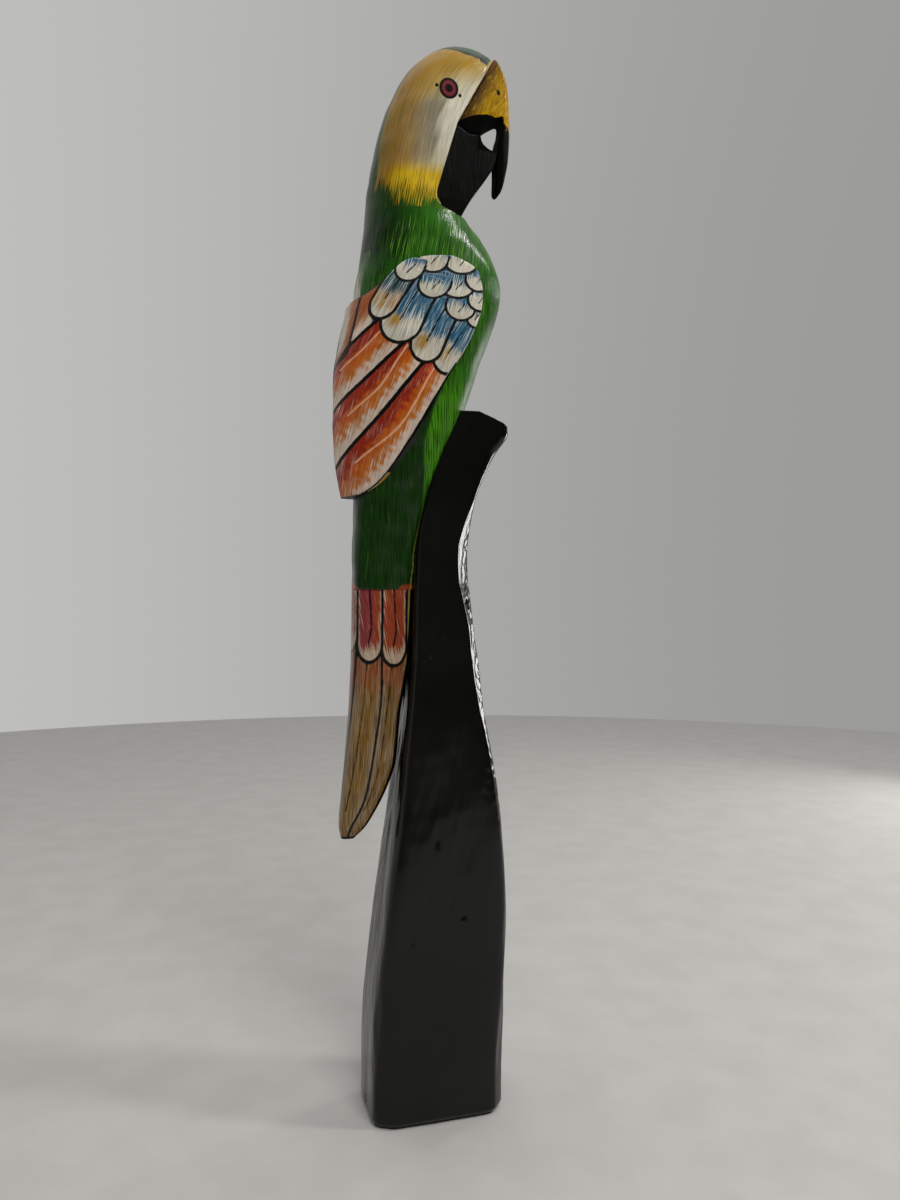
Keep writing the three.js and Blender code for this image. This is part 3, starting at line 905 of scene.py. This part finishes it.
def head_paint_shade_and_sheen(paint, face, z):
    """Blends the head's coats, with their painted reflection and painted shade, between their
    heights.
    """
    heights = [height for height, _ in HEAD_PAINT_SHADE_AND_SHEEN]
    coats = np.stack([colour_at(stops, face) for _, stops in HEAD_PAINT_SHADE_AND_SHEEN])
    place = np.clip(np.interp(z, heights, range(len(heights))), 0, len(heights) - 1.001)
    row = place.astype(int)
    share = (place - row)[:, None]
    points = np.arange(len(z))
    head = (1 - share) * coats[row, points] + share * coats[row + 1, points]
    paint.coat[:] = np.where((z > 405)[:, None], head, paint.coat)


# ------------------------------------------------------------------ wings


CREAM, BLUE, TEAL = (208, 200, 180), (40, 98, 128), (42, 80, 88)
OCHRE, TAN, FROST = (170, 130, 34), (172, 126, 72), (220, 224, 222)
RED, ORANGE, AMBER, PALE = (156, 44, 20), (196, 86, 20), (198, 116, 36), (222, 202, 186)

# Lines between the long feathers, as (arc from the back, height).
NAPE_LINE = [(3, 344), (10.6, 349), (12.7, 361), (13.4, 376)]
UPPER_LINE = [(-2, 340), (3, 344), (8.5, 349.2), (15.6, 354.1), (24.2, 361.3), (34, 369)]
MIDDLE_LINE = [(-2, 320.4), (2.3, 323.7), (21.5, 336.8), (37.6, 351.4), (46, 359)]
LOWER_LINE = [(-2, 294.5), (1.4, 297.5), (25.6, 319), (46.8, 343), (56, 354)]
TRAILING_LINE = [(-2, 270), (17, 285), (22.7, 289.5), (32, 299), (42.8, 313), (52.9, 328), (62, 343)]

# The pale quill of each long feather, from the top one down.
QUILLS = [
    [(26.5, 356.6), (18, 348.1), (7, 341.2)],
    [(39.5, 350.6), (27.3, 332.5), (11, 320.4)],
    [(52, 341), (35.4, 315.4), (13.2, 299.2)],
]

# Covert feathers from the lowest layer up: tip's arc and height, half width, lean,
# height of the round end, how far they reach, and the colour of the root.
LONG_COVERTS = [
    ((55.4, 339.7), 7.3, 25, 8.5, 26, BLUE), ((45.9, 343.9), 7.6, 18, 8.5, 30, BLUE),
    ((33.1, 352.0), 9.4, 16, 9.5, 32, BLUE), ((23.5, 362.6), 6.6, 21, 8.0, 22, TEAL),
]
SHORT_COVERTS = [
    ((70.5, 361.5), 5.5, 4, 5), ((61.3, 363.6), 7.6, 4, 6.5),
    ((71.0, 369.3), 7.0, 0, 5), ((57.5, 373.4), 8.6, 2, 7), ((46.3, 372.3), 7.4, 4, 6.5),
    ((67.4, 378.0), 7.2, 0, 6), ((56.8, 384.6), 8.2, 0, 6), ((43.0, 384.0), 6.8, 4, 5),
    ((33.0, 379.3), 6.6, 8, 6.5),
]


def make_wing(seed):
    """The bird's right wing: a shell round its flank, thick at its lower edge. Its inner
    face runs on inside the body, out of sight, to the front of the seat."""
    radius, spacing, edge_depths = 1.3, 0.56, (0.12, 0.35, 0.7, 1.15)
    flat, faces, rim = flat_mesh(wing_outline, spacing, edge_depths)
    s, z = flat.T
    depth = depth_inside(wing_outline, s, z)
    depth[:rim] = 0
    midline = smooth(0.5, 2.5, s)
    normal = wing_skin.normals(s, z)
    front = wing_skin.points(s, z)
    hand = 0.14 * waves(seed, 24, 9, 34)(s, z)
    front += (hand - rounding(depth, radius) * midline - radius * 0.25 * (1 - midline)
              * rounding(np.minimum(depth, s + 0.4), radius))[:, None] * normal
    front[:, 1] = np.minimum(front[:, 1], -GLUE_GAP / 2)

    arc_out = front_arc[front_edge[:, 1].argmax()]
    arc_in = seat_skin.total[seat_skin.rows(z)]
    on_nape = z > nape_edge[0, 1]
    start_out = np.where(on_nape, np.interp(z, nape_edge[:, 1], nape_arc), 0)
    nape_x = np.interp(z, nape_edge[:, 1], nape_edge[:, 0])
    start_in = np.where(on_nape, seat_skin.arc_at(nape_x, z), 0)
    share = np.clip((s - start_out) / np.maximum(arc_out - start_out, 0.5), 0, 1)
    back = seat_skin.points(start_in + share * (arc_in - start_in), z)
    back[:, 1] = np.minimum(back[:, 1], -GLUE_GAP / 2)

    rim_shares = (0.12, 0.3, 0.6)
    points, shell = two_skins(front, back, faces, rim, rim_shares)
    paint = paint_wing(s, z, depth, seed)
    pale_rim = (s > 16) & (s < 27) & (z < 300)
    return points, shell, paint.spread_to_shell(len(flat), rim, len(rim_shares), pale_rim)


def between(s, z, upper, lower):
    """Where points lie between two lines, and how far across, from 0 at the upper one."""
    upper, lower = curve(upper), curve(lower)
    inside = (z < look_up(upper, s)) & (z >= look_up(lower, s))
    above, below = line_distance(upper, s, z), line_distance(lower, s, z)
    return inside, above / (above + below + 1e-9)


def paint_wing(s, z, depth, seed):
    """Three long feathers, then the coverts over their roots, lowest layer first."""
    paint = Paint(2.0 * (s - 0.42 * z), 0.55 * z, PALE, seed)
    paint.coat[:] = linear(BLUE)
    ragged = 0.06 * waves(seed + 1, 12, 3, 12)(s, z)

    for upper, lower, quill in ((UPPER_LINE, MIDDLE_LINE, QUILLS[0]),
                                (MIDDLE_LINE, LOWER_LINE, QUILLS[1]),
                                (LOWER_LINE, TRAILING_LINE, QUILLS[2])):
        inside, t = between(s, z, upper, lower)
        t = t + ragged
        paint.coat_over([(0, RED), (0.26, RED), (0.38, ORANGE), (0.7, AMBER)], t, inside)
        tips = smooth(16, 4, s) * 0.25
        paint.stroke(PALE, np.clip(smooth(0.48, 1.0, t) + tips, 0, 0.96), inside)
        on_quill = line_distance(curve(quill), s, z) - 0.42
        paint.quill = np.where(inside, np.minimum(paint.quill, on_quill), paint.quill)

    rise = z - look_up(curve(UPPER_LINE), s)
    above = rise >= 0
    back_of = s < look_up(curve(NAPE_LINE)[:, ::-1], z)
    nearest = line_distance(curve(NAPE_LINE), s, z)
    inner, outer = above & back_of, above & ~back_of
    paint.coat_over([(0, (150, 84, 44)), (4, (176, 104, 60)), (9, CREAM)], nearest, inner)
    paint.stroke(CREAM, smooth(2, 8, nearest) * smooth(374, 362, z) + 0.1, inner)
    paint.coat_over([(0, CREAM), (5, (190, 140, 96)), (12, (160, 84, 40))], rise, outer)
    paint.stroke(PALE, smooth(9, 2, rise), outer)
    covered = outer & (s > 22)
    paint.coat[covered] = linear(BLUE)
    paint.cover[covered] = 0

    for line, half in ((NAPE_LINE, 0.75), (UPPER_LINE, 0.85), (MIDDLE_LINE, 0.85),
                       (LOWER_LINE, 0.85)):
        paint.draw(line_distance(curve(line), s, z), half, z < 379)
    paint.draw(s, 0.7)

    for tip, half, lean, round_height, reach, root in LONG_COVERTS:
        long_covert(paint, s, z, tip, half, lean, round_height, reach, root)
    for order, (tip, half, lean, round_height) in enumerate(SHORT_COVERTS):
        short_covert(paint, s, z, tip, half, lean, round_height, 3.0 + order)

    trailing = look_up(curve(TRAILING_LINE), s)
    paint.draw(depth, 0.45, (z < trailing + 9) & (z < 338) | (z < 290))
    paint.draw(depth, 0.45, (s > 50) & (z < 345))
    paint.draw(depth, 1.1, (s < 26) & (z > 368))
    return paint


def covert(paint, s, z, tip, half, lean, round_height, reach, outlined, half_line):
    """Lays a covert feather in cream over what is under it, up to reach from its tip, with
    an outline; returns its axes and where it is."""
    across, along = feather_axes(s, z, tip, lean)
    edge = tongue(across, along, half, round_height)
    inside = (edge < 0) & (along < reach)
    outline = np.abs(edge) - half_line
    near = (along < outlined) & (along > -3)
    paint.quill[inside] = FAR
    paint.ink = np.where(inside, outline,
                         np.where(near, np.minimum(paint.ink, outline), paint.ink))
    paint.coat[inside] = linear(CREAM)
    return across, along, inside


def long_covert(paint, s, z, tip, half, lean, round_height, reach, root):
    """A long covert feather: cream tip, ochre middle, blue root and a dark quill."""
    across, along, inside = covert(paint, s, z, tip, half, lean, round_height, reach, reach, 0.68)
    if root == TEAL:
        paint.wash(TAN, 0.7 * smooth(3, 8, along), inside)
    patch = smooth(4.6, 1.2, np.hypot(across + 0.35 * half, (along - 0.95 * round_height) / 1.3))
    paint.wash(OCHRE, 0.95 * patch, inside)
    lift = 2.6 * np.abs(across / half) ** 1.5
    paint.stroke(root, smooth(7, 16, along - lift), inside)
    paint.touch(FROST, 0.2, inside)
    fan = 1.4 * across * (1 + 0.03 * along)
    paint.comb_along(fan, 0.6 * along, inside, tip[0])
    shaft = line_distance([(0.1 * half, reach), (-0.1 * half, 0.62 * round_height + 4)],
                          across, along)
    paint.draw(shaft, 0.34, inside)


def short_covert(paint, s, z, tip, half, lean, round_height, seed):
    """A small scale: cream tip, blue root in strokes, and a short dark quill."""
    across, along, inside = covert(paint, s, z, tip, half, lean, round_height, 11, 9, 0.55)
    start = 4.2 if tip[1] > 378.5 else 2.8
    paint.stroke(BLUE, 0.92 * smooth(start, start + 8, along + 0.12 * np.abs(across)), inside)
    paint.touch(FROST, 0.22, inside)
    fan = 1.4 * across * (1.25 - 0.03 * along)
    paint.comb_along(fan, 0.6 * along, inside, seed)
    shaft = line_distance([(1.6, 8.0), (-0.6, 3.6)], across, along)
    paint.draw(shaft, 0.3, inside)


# ------------------------------------------------------------------ tail


TAIL_OCHRE, TAIL_BROWN, TAIL_BEIGE = (134, 98, 34), (84, 58, 24), (152, 130, 102)
# Height, and how far from the front's midline the black front edge reaches.
TAIL_FRONT_EDGE = [(127, 3.2), (132, 4.2), (143, 5.2), (160, 6.0), (185, 6.7), (212, 7.1)]
# Lines between the long tail feathers, as (arc from the back, height).
BACK_LINE = [(0, 146), (0.9, 153.5), (3.4, 181), (4.7, 196), (5.6, 216)]
SPLIT_LINE = [(2, 125), (6, 130), (13.6, 145.4), (16.7, 172.6), (18.1, 193.3), (17.6, 212)]
# Short tail feathers: tip's arc and height, half width and colour.
TAIL_COVERTS = [
    ((0, 213.2), 6.1, TAIL_RED), ((23.4, 206.6), 5.9, TAIL_RED), ((11.9, 208.4), 5.8, TAIL_MAGENTA),
]


def make_tail():
    """The long tail block, rounded at its tip."""
    loft = Loft(TAIL_ROWS)
    low, high = TAIL_LOW[2], TAIL_HIGH[2]
    z = np.concatenate([low + 3 * np.linspace(0, 1, 10)[:-1] ** 2, np.arange(low + 3, high, 0.6),
                        [high]])
    halves = loft.halves(z)
    total = halves[2][:, -1]
    columns = 56
    wanted = total[:, None] * np.linspace(0, 1, columns)
    x, y = along_arc(halves, wanted)
    zz = np.repeat(z[:, None], columns, 1)
    hand = 0.1 * waves(21, 20, 8, 30)(wanted, zz) * smooth(low, low + 8, zz)
    y = y * (1 + hand / 7)
    points, ring = lofted_rings(x, y, zz)
    s = on_rings(wanted)
    front_room = on_rings(total[:, None] - wanted)
    return points, ring_faces(len(z), ring), paint_tail(points, s, front_room)


def paint_tail(points, s, front_room):
    """Long ochre feathers with short red ones over their roots."""
    _, y, z = points.T
    paint = Paint(1.7 * np.where(y > 0, -s, s), 0.45 * z, TAIL_OCHRE, 5.0)
    back, split = curve(BACK_LINE), curve(SPLIT_LINE)
    back_s, split_s = look_up(back[:, ::-1], z), look_up(split[:, ::-1], z)
    outer_s = (s + front_room) - 7.5
    for left, right in ((back_s * 0, back_s), (back_s, split_s), (split_s, outer_s)):
        width = np.maximum(right - left, 0.3)
        t = (s - left) / width
        inside = (t >= 0) & (t < 1)
        paint.coat_over([(0, TAIL_BEIGE), (0.2, TAIL_BEIGE), (0.42, TAIL_OCHRE), (0.72, TAIL_OCHRE),
                         (0.95, TAIL_BEIGE)], t, inside)
        paint.draw(np.abs(t - 0.42) * width, 0.26, inside & (z > 140))
    paint.wash(TAIL_RED, 0.75 * smooth(188, 206, z))
    paint.stroke(TAIL_BROWN, 0.34)
    paint.touch(TAIL_BEIGE, 0.22 + 0.2 * smooth(160, 135, z))
    paint.draw(line_distance(back, s, z), 0.7, z < 220)
    paint.draw(line_distance(split, s, z), 0.55, z < 214)
    for (tip_s, tip_z), half, colour in TAIL_COVERTS:
        across, along = s - tip_s, z - tip_z
        edge = tongue(across, along, half, 8.5)
        inside = edge < 0
        outline = np.abs(edge) - 0.6
        paint.ink = np.where(inside, outline, np.minimum(paint.ink, outline))
        paint.coat[inside] = linear(colour)
        paint.wash(TAIL_RED, smooth(0, 3, across), inside)
        rim = np.clip(0.9 + edge / 2.6, 0, 1)
        paint.stroke(TAIL_CREAM, np.clip(rim + smooth(11, 3, along), 0, 0.96), inside)
        paint.touch(TAIL_BROWN, 0.1, inside)
        paint.comb_along(1.8 * (across + 0.2 * along), 0.6 * along, inside, tip_s)
        shaft = line_distance([(-0.6, 40), (0.8, 16), (-0.4, 9)], across, along)
        paint.draw(shaft, 0.42, inside)
    front_edge_room = look_up(TAIL_FRONT_EDGE, z)
    paint.draw(front_room - front_edge_room, 0.0)
    paint.draw(z - TAIL_TIP, 1.2)
    paint.quill = np.where(z > 204, np.abs(front_room - 7.6) - 0.25, FAR)
    return paint


# ------------------------------------------------------------------ stump


STUMP_TOP = [(20, 325), (33, 320), (60, 309)]   # x and height of the slanted top
SLANT_FROM, STUMP_RIM = 300, 326.5              # heights of the rings that the slant moves


def make_stump():
    """A tapering four-sided stump with knife-cut corners, dents and a slanted top."""
    loft = Loft(STUMP_ROWS)
    z = np.concatenate([3 * np.linspace(0, 1, 8)[:-1] ** 1.6, np.arange(3, SLANT_FROM, 0.9),
                        np.arange(SLANT_FROM, STUMP_RIM + 0.1, 0.7)])
    x, y, _ = loft.halves(z)
    x, y = both_sides(x), both_sides(y, -1)
    foot = 1.6 * (1 - smooth(0, 3, z))[:, None]
    back, _, front, half, *_ = loft.stations(z).T
    x, y = cut_corners(x, y, z, back, front, half)
    middle = ((back + front) / 2)[:, None]
    off_x, off_y = np.abs(x - middle) / (front[:, None] - middle), np.abs(y) / half[:, None]
    x = x - foot * np.sign(x - middle) * smooth(0.6, 1, off_x)
    y = y - foot * np.sign(y) * smooth(0.6, 1, off_y)
    steps = np.hypot(np.diff(x, axis=1, append=x[:, :1]), np.diff(y, axis=1, append=y[:, :1]))
    arc = np.hstack([np.zeros((len(z), 1)), np.cumsum(steps, axis=1)])
    closed_x, closed_y = np.hstack([x, x[:, :1]]), np.hstack([y, y[:, :1]])
    columns = 214
    wanted = arc[:, -1:] * np.linspace(0, 1, columns, endpoint=False)
    x, y = along_arc((closed_x, closed_y, arc), wanted)
    zz = np.repeat(z[:, None], columns, 1)
    x, y = carve(x, y, zz, wanted, middle)
    zz = slant(x, zz)
    x, y = clear_of_bird(x, y, zz)
    rings = np.stack([x, y, zz], -1)
    centre = rings[-1].mean(0)
    lid = np.array([centre + share * (rings[-1] - centre) for share in (0.985, 0.8, 0.5, 0.2)])
    lid[..., 2] = look_up(STUMP_TOP, lid[..., 0]) + 0.25
    rings = np.concatenate([rings, lid])
    return capped(rings), ring_faces(len(rings), columns)


# Knife cuts down the corners: the corner as signs of x and y, the cut's heading in
# degrees, and its depth by height.
CORNER_CUTS = [
    ((-1, -1), 242, [(0, 4.2), (60, 3.2), (120, 1.4), (200, 0.8), (327, 3.0)]),
    ((-1, -1), 207, [(0, 3.4), (50, 3.0), (90, 1.2), (140, 0.4), (230, 0.4), (327, 2.6)]),
    ((1, -1), 321, [(0, 5.0), (90, 3.0), (150, 2.8), (190, 4.0), (225, 4.8), (245, 6.4), (262, 5.8),
                    (280, 3.2), (300, 1.4), (327, 1.0)]),
    ((1, -1), 340, [(0, 2.6), (120, 2.2), (220, 2.8), (280, 1.6), (327, 0.8)]),
    ((1, 1), 42, [(0, 4.6), (120, 3.0), (220, 4.0), (327, 2.2)]),
    ((-1, 1), 132, [(0, 4.4), (80, 2.2), (140, 0.8), (230, 0.8), (327, 3.0)]),
]


def cut_corners(x, y, z, back, front, half):
    """Planes cut off the corners, with an edge that wanders as a knife's does."""
    for k, ((side_x, side_y), heading, depths) in enumerate(CORNER_CUTS):
        angle = np.radians(heading + 3.0 * np.sin(z / 23.0 + 1.7 * k))
        nx, ny = np.cos(angle), np.sin(angle)
        corner_x = front if side_x > 0 else back
        reach = nx * corner_x + ny * side_y * half
        depth = look_up(depths, z) + 0.35 * np.sin(z / 9.0 + 2.3 * k)
        over = nx[:, None] * x + ny[:, None] * y - (reach - depth)[:, None]
        over = (over + np.sqrt(over ** 2 + 0.05)) / 2
        x, y = x - over * nx[:, None], y - over * ny[:, None]
    return x, y


# Dents and chips on the side that shows: x and height of the middle, width, height, depth.
DENTS = [
    (-14.5, 84.0, 2.0, 3.2, 0.8), (10.0, 93.0, 1.6, 1.6, 0.7), (20.0, 57.0, 1.4, 1.6, 0.5),
    (9.0, 60.0, 1.3, 2.6, 0.4), (18.0, 30.0, 1.2, 1.4, 0.4), (-2.0, 128.0, 1.5, 4.0, 0.4),
    (14.5, 236.0, 1.3, 2.2, 0.9), (-9.0, 196.0, 1.0, 3.0, 0.4), (4.0, 100.0, 3.0, 6.0, 0.5),
]


def carve(x, y, z, arc, middle):
    """Broad hand-carved hollows, fine chatter on the corners and a few dents."""
    out_x, out_y = x - middle, y
    size = np.hypot(out_x, out_y)
    ways = np.arctan2(out_y, out_x)
    broad = waves(31, 22, 16, 60)(arc * 1.2, z * 0.4)
    fine = waves(32, 26, 3.5, 11)(arc, z * 0.35)
    shift = 0.2 * broad + 0.06 * fine
    ridge = np.exp(-((np.degrees(ways) + 28) / 16) ** 2)
    ridge = ridge * smooth(110, 170, z) * smooth(285, 255, z)
    shift = shift + ridge * 0.14 * waves(33, 20, 3, 9)(arc, z)
    for dent_x, dent_z, wide, tall, deep in DENTS:
        near = np.exp(-((x - dent_x) / wide) ** 2 - ((z - dent_z) / tall) ** 2)
        shift = shift - deep * near * (y < 0) * (np.abs(y) > 6)
    shift = np.minimum(shift, 0.25) * smooth(0, 4, z)
    return x + shift * out_x / size, y + shift * out_y / size


def slant(x, z):
    """Brings the last rings down to the slanted top."""
    share = smooth(SLANT_FROM - 20, STUMP_RIM, z)
    lowered = (STUMP_RIM - look_up(STUMP_TOP, x)) / (STUMP_RIM - SLANT_FROM)
    return z - np.maximum(z - SLANT_FROM, 0) * share * lowered


def clear_of_bird(x, y, z):
    """Keeps the back of the stump just off the front of the body and the tail."""
    z_flat = z.ravel()
    tail, body = Loft(TAIL_ROWS).stations(z_flat), body_loft.stations(z_flat)
    station = np.where((z_flat < TAIL_JOINT)[:, None], tail, body)
    _, broad, front, half, _, square = station.T.reshape(6, *z.shape)
    clearance = GLUE_GAP / 2
    off = np.clip(np.abs(y) / (half + clearance), 0, 1)
    skin = broad + (front - broad) * (1 - off ** square) ** (1 / square) + clearance
    covered = (np.abs(y) < half + clearance) & (z > TAIL_TIP + 6) & (x < skin)
    return np.where(covered, skin, x), y


# ------------------------------------------------------------------ beak


# The beak's half width by x, and the share of it that is left at heights.
BEAK_PLAN = [(0, 8.5), (29.2, 6.5), (35.4, 5.9), (37.3, 4.6), (38.2, 3.2)]
HOOK_NARROWING = [(429, 0.4), (440, 0.66), (455, 0.9), (466, 1)]
CHIN_NARROWING = [(414, 0.85), (425, 1)]
CERE_LINE = [(6, 457), (10.5, 460.6), (12.3, 462.8), (18.7, 466.3), (26.2, 467.9), (32.2, 466.6),
             (35.6, 464.7), (40, 461)]
BEAK_YELLOW, BEAK_ROOT_SHADE, BEAK_BLACK = (176, 134, 12), (92, 62, 34), (6, 6, 5)


def make_beak(outline, radius, narrowing):
    """Half of the beak: a plate with rounded edges, narrower towards the front and, by
    height, as narrowing says."""
    spacing, edge_depths = 0.5, (0.12, 0.35, 0.75, 1.3)
    outline = even_points(curve(outline + outline[:1], 4)[:-1], 0.9 * spacing)
    outline = outline + np.array([GLUE_GAP, GLUE_GAP / 3])
    flat, faces, rim = flat_mesh(outline, spacing, edge_depths)
    x, z = flat.T
    depth = depth_inside(outline, x, z)
    depth[:rim] = 0
    plan = look_up(BEAK_PLAN, x) * look_up(narrowing, z)
    half = plan - rounding(depth, radius) + 0.06 * waves(41, 16, 5, 20)(x, z)
    right, left = np.stack([x, -half, z], -1), np.stack([x, half, z], -1)
    points, shell = two_skins(right, left, faces, rim, (0.04, 0.12, 0.5, 0.88, 0.96))
    depth = np.concatenate([depth, depth, np.zeros(len(points) - 2 * len(depth))])
    return points, shell, depth


def paint_upper_beak(x, z, depth):
    """Yellow with a brown root that is painted shadow beside the overhanging face, black below the
    cere line, and a nostril.
    """
    (low_z, low_x), (high_z, high_x) = FACE_LINE[-3:-1]
    rise, run = high_z - low_z, high_x - low_x
    length = np.hypot(rise, run)
    off_face = ((x - low_x) * rise - (z - low_z) * run) / length
    paint = Paint(off_face, (x * run + z * rise) / length, BEAK_YELLOW, 8.0)
    paint.wash((200, 156, 20), smooth(12, 19, off_face))
    # Painted shadow: brown along the beak's root, beside the overhanging face.
    paint.wash(BEAK_ROOT_SHADE, 0.95 * smooth(9, 1.5, off_face))
    paint.stroke((128, 92, 18), 0.28)
    paint.touch((204, 164, 40), 0.1)
    above = z - look_up(curve(CERE_LINE), x)
    paint.ink = above
    paint.draw(np.hypot(x - 31.6, (z - 479.4) * 0.75), 0.9)
    paint.draw(np.hypot(x - 30.6, (z - 480.6) * 1.2), 0.4)
    paint.quill = np.where(above > 0, np.abs(above - 0.5) + 0.12, FAR)
    paint.dull = smooth(35.2, 34.4, x) * smooth(471, 469, z)
    paint.ink[(depth < 0.5) & (x > 20) & (x < 34.6) & (z < 470)] = -0.5
    return paint


def paint_lower_beak(x, z, _):
    """Black all over, and dull inside the opening."""
    paint = Paint(x, z, BEAK_BLACK, 9.0)
    paint.stroke((20, 18, 14), 0.3)
    paint.ink[:] = -0.5
    paint.dull = smooth(20, 21.5, x) * smooth(449, 451, z)
    return paint


# ------------------------------------------------------------------ pieces


def add(name, node, points, faces, material, paint=None):
    """A closed, smooth shaded piece with its paint, in metres, in place of its CAD node."""
    mesh = bpy.data.meshes.new(name)
    mesh.from_pydata((points * MM).tolist(), [], turned_out(points, faces))
    mesh.polygons.foreach_set("use_smooth", np.ones(len(mesh.polygons), bool))
    if paint is not None:
        paint.store(mesh)
    mesh.materials.append(material)
    mesh.update()
    piece = new_object(name, mesh)
    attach(piece, "root")
    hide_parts(node)


points, faces, paint = make_body()
add("painted_body", "body", points, faces,
    painted_wood("body_paint", quill=EDGE_YELLOW, with_eyes=True), paint)

wing_material = painted_wood("wing_paint")
for node, seed, side in (("right_wing", 2, 1), ("left_wing", 3, -1)):
    points, faces, paint = make_wing(seed)
    add("painted_" + node, node, points * [1, side, 1], faces, wing_material,
        paint)

points, faces, paint = make_tail()
add("painted_tail", "tail", points, faces,
    painted_wood("tail_paint", quill=EDGE_YELLOW), paint)

beak_material = painted_wood("beak_paint", quill=(206, 166, 60))
for node, outline, radius, narrowing, paint_beak in (
        ("upper_beak", UPPER_BEAK, 0.9, HOOK_NARROWING, paint_upper_beak),
        ("lower_beak", LOWER_BEAK, 0.8, CHIN_NARROWING, paint_lower_beak)):
    points, faces, depth = make_beak(outline, radius, narrowing)
    add("painted_" + node, node, points, faces, beak_material,
        paint_beak(points[:, 0], points[:, 2], depth))

points, faces = make_stump()
add("carved_stump", "stump", points, faces, stump_gloss())

peg_material = bamboo()
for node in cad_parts.values():
    if not node.hide_render:
        node.data.materials.clear()
        node.data.materials.append(peg_material)


# ------------------------------------------------------------------ stage

VIEW_AZIMUTH = -16.0          # degrees round from looking along +Y
VIEW_FROM = (-0.1093, -0.4139, 0.237)
LENS = 27.03

camera = new_object("camera", bpy.data.cameras.new("camera"))
camera.data.lens = LENS
camera.data.sensor_width = 36
camera.location = VIEW_FROM
camera.rotation_euler = (np.pi / 2, 0, np.radians(VIEW_AZIMUTH))
bpy.context.scene.camera = camera


def make_floor():
    """A pale round floor, wide enough to end just above the object's foot in view."""
    radius, sides = 1.43, 128
    turn = np.linspace(0, 2 * np.pi, sides, endpoint=False)
    points = [(radius * np.cos(t), radius * np.sin(t), -0.0002) for t in turn]
    mesh = bpy.data.meshes.new("floor")
    mesh.from_pydata(points, [], [tuple(range(sides))])
    m = new_material("floor_cloth")
    weave = m.noise(m.place(), 30.0, 4.0)
    shade = m.mix(m.ramp(weave, 0.3, 0.7), colour4((178, 177, 174)), colour4((184, 183, 180)))
    m.set(Base_Color=shade, Roughness=0.75)
    mesh.materials.append(m.owner)
    new_object("floor", mesh)


def make_world():
    """Soft room light: pale walls behind and to the left, dimmer towards the front."""
    room = Nodes(bpy.data.worlds.new("room"), "Background")
    x, y, z = room.split(room.node("ShaderNodeTexCoord").outputs["Generated"])
    front = room.ramp(y, -0.45, 0.3, 0.17, 1.0)
    side = room.ramp(x, -0.35, 0.68, 0.53, 0.33)
    dark_corner = room.ramp(x, 0.69, 0.82, 1.0, 0.25)
    ceiling = room.ramp(z, 0.62, 0.98, 0.0, 0.6)
    walls = room.math("MULTIPLY", room.math("MULTIPLY", front, side), dark_corner)
    room.set(Color=(1.0, 0.995, 0.975, 1.0), Strength=room.math("ADD", walls, ceiling))
    bpy.context.scene.world = room.owner


# Soft rectangular lights that face the bird: name, place, width and height, power, and
# whether the varnish mirrors them.
LIGHTS = [
    ("low_window", (0.92, 0.42, 0.26), (0.22, 0.3), 1.8, True),
    ("high_window", (0.94, 0.42, 0.70), (0.06, 0.12), 0.45, True),
    ("side_window", (0.80, -0.35, 1.15), (0.12, 0.16), 4.5, True),
    ("fill", (0.1, -0.95, 1.5), (0.6, 0.6), 13.0, False),
]
LIT_POINT = (0, 0, 0.3)

make_floor()
make_world()
for name, place, size, power, mirrored in LIGHTS:
    light = new_object(name, bpy.data.lights.new(name, "AREA"))
    light.data.shape = "RECTANGLE"
    light.data.size, light.data.size_y = size
    light.data.energy = power
    light.data.color = (1.0, 0.985, 0.96)
    light.location = place
    way = Vector(LIT_POINT) - Vector(place)
    light.rotation_euler = way.to_track_quat("-Z", "Y").to_euler()
    light.visible_glossy = mirrored
bpy.context.scene.view_settings.view_transform = "Standard"
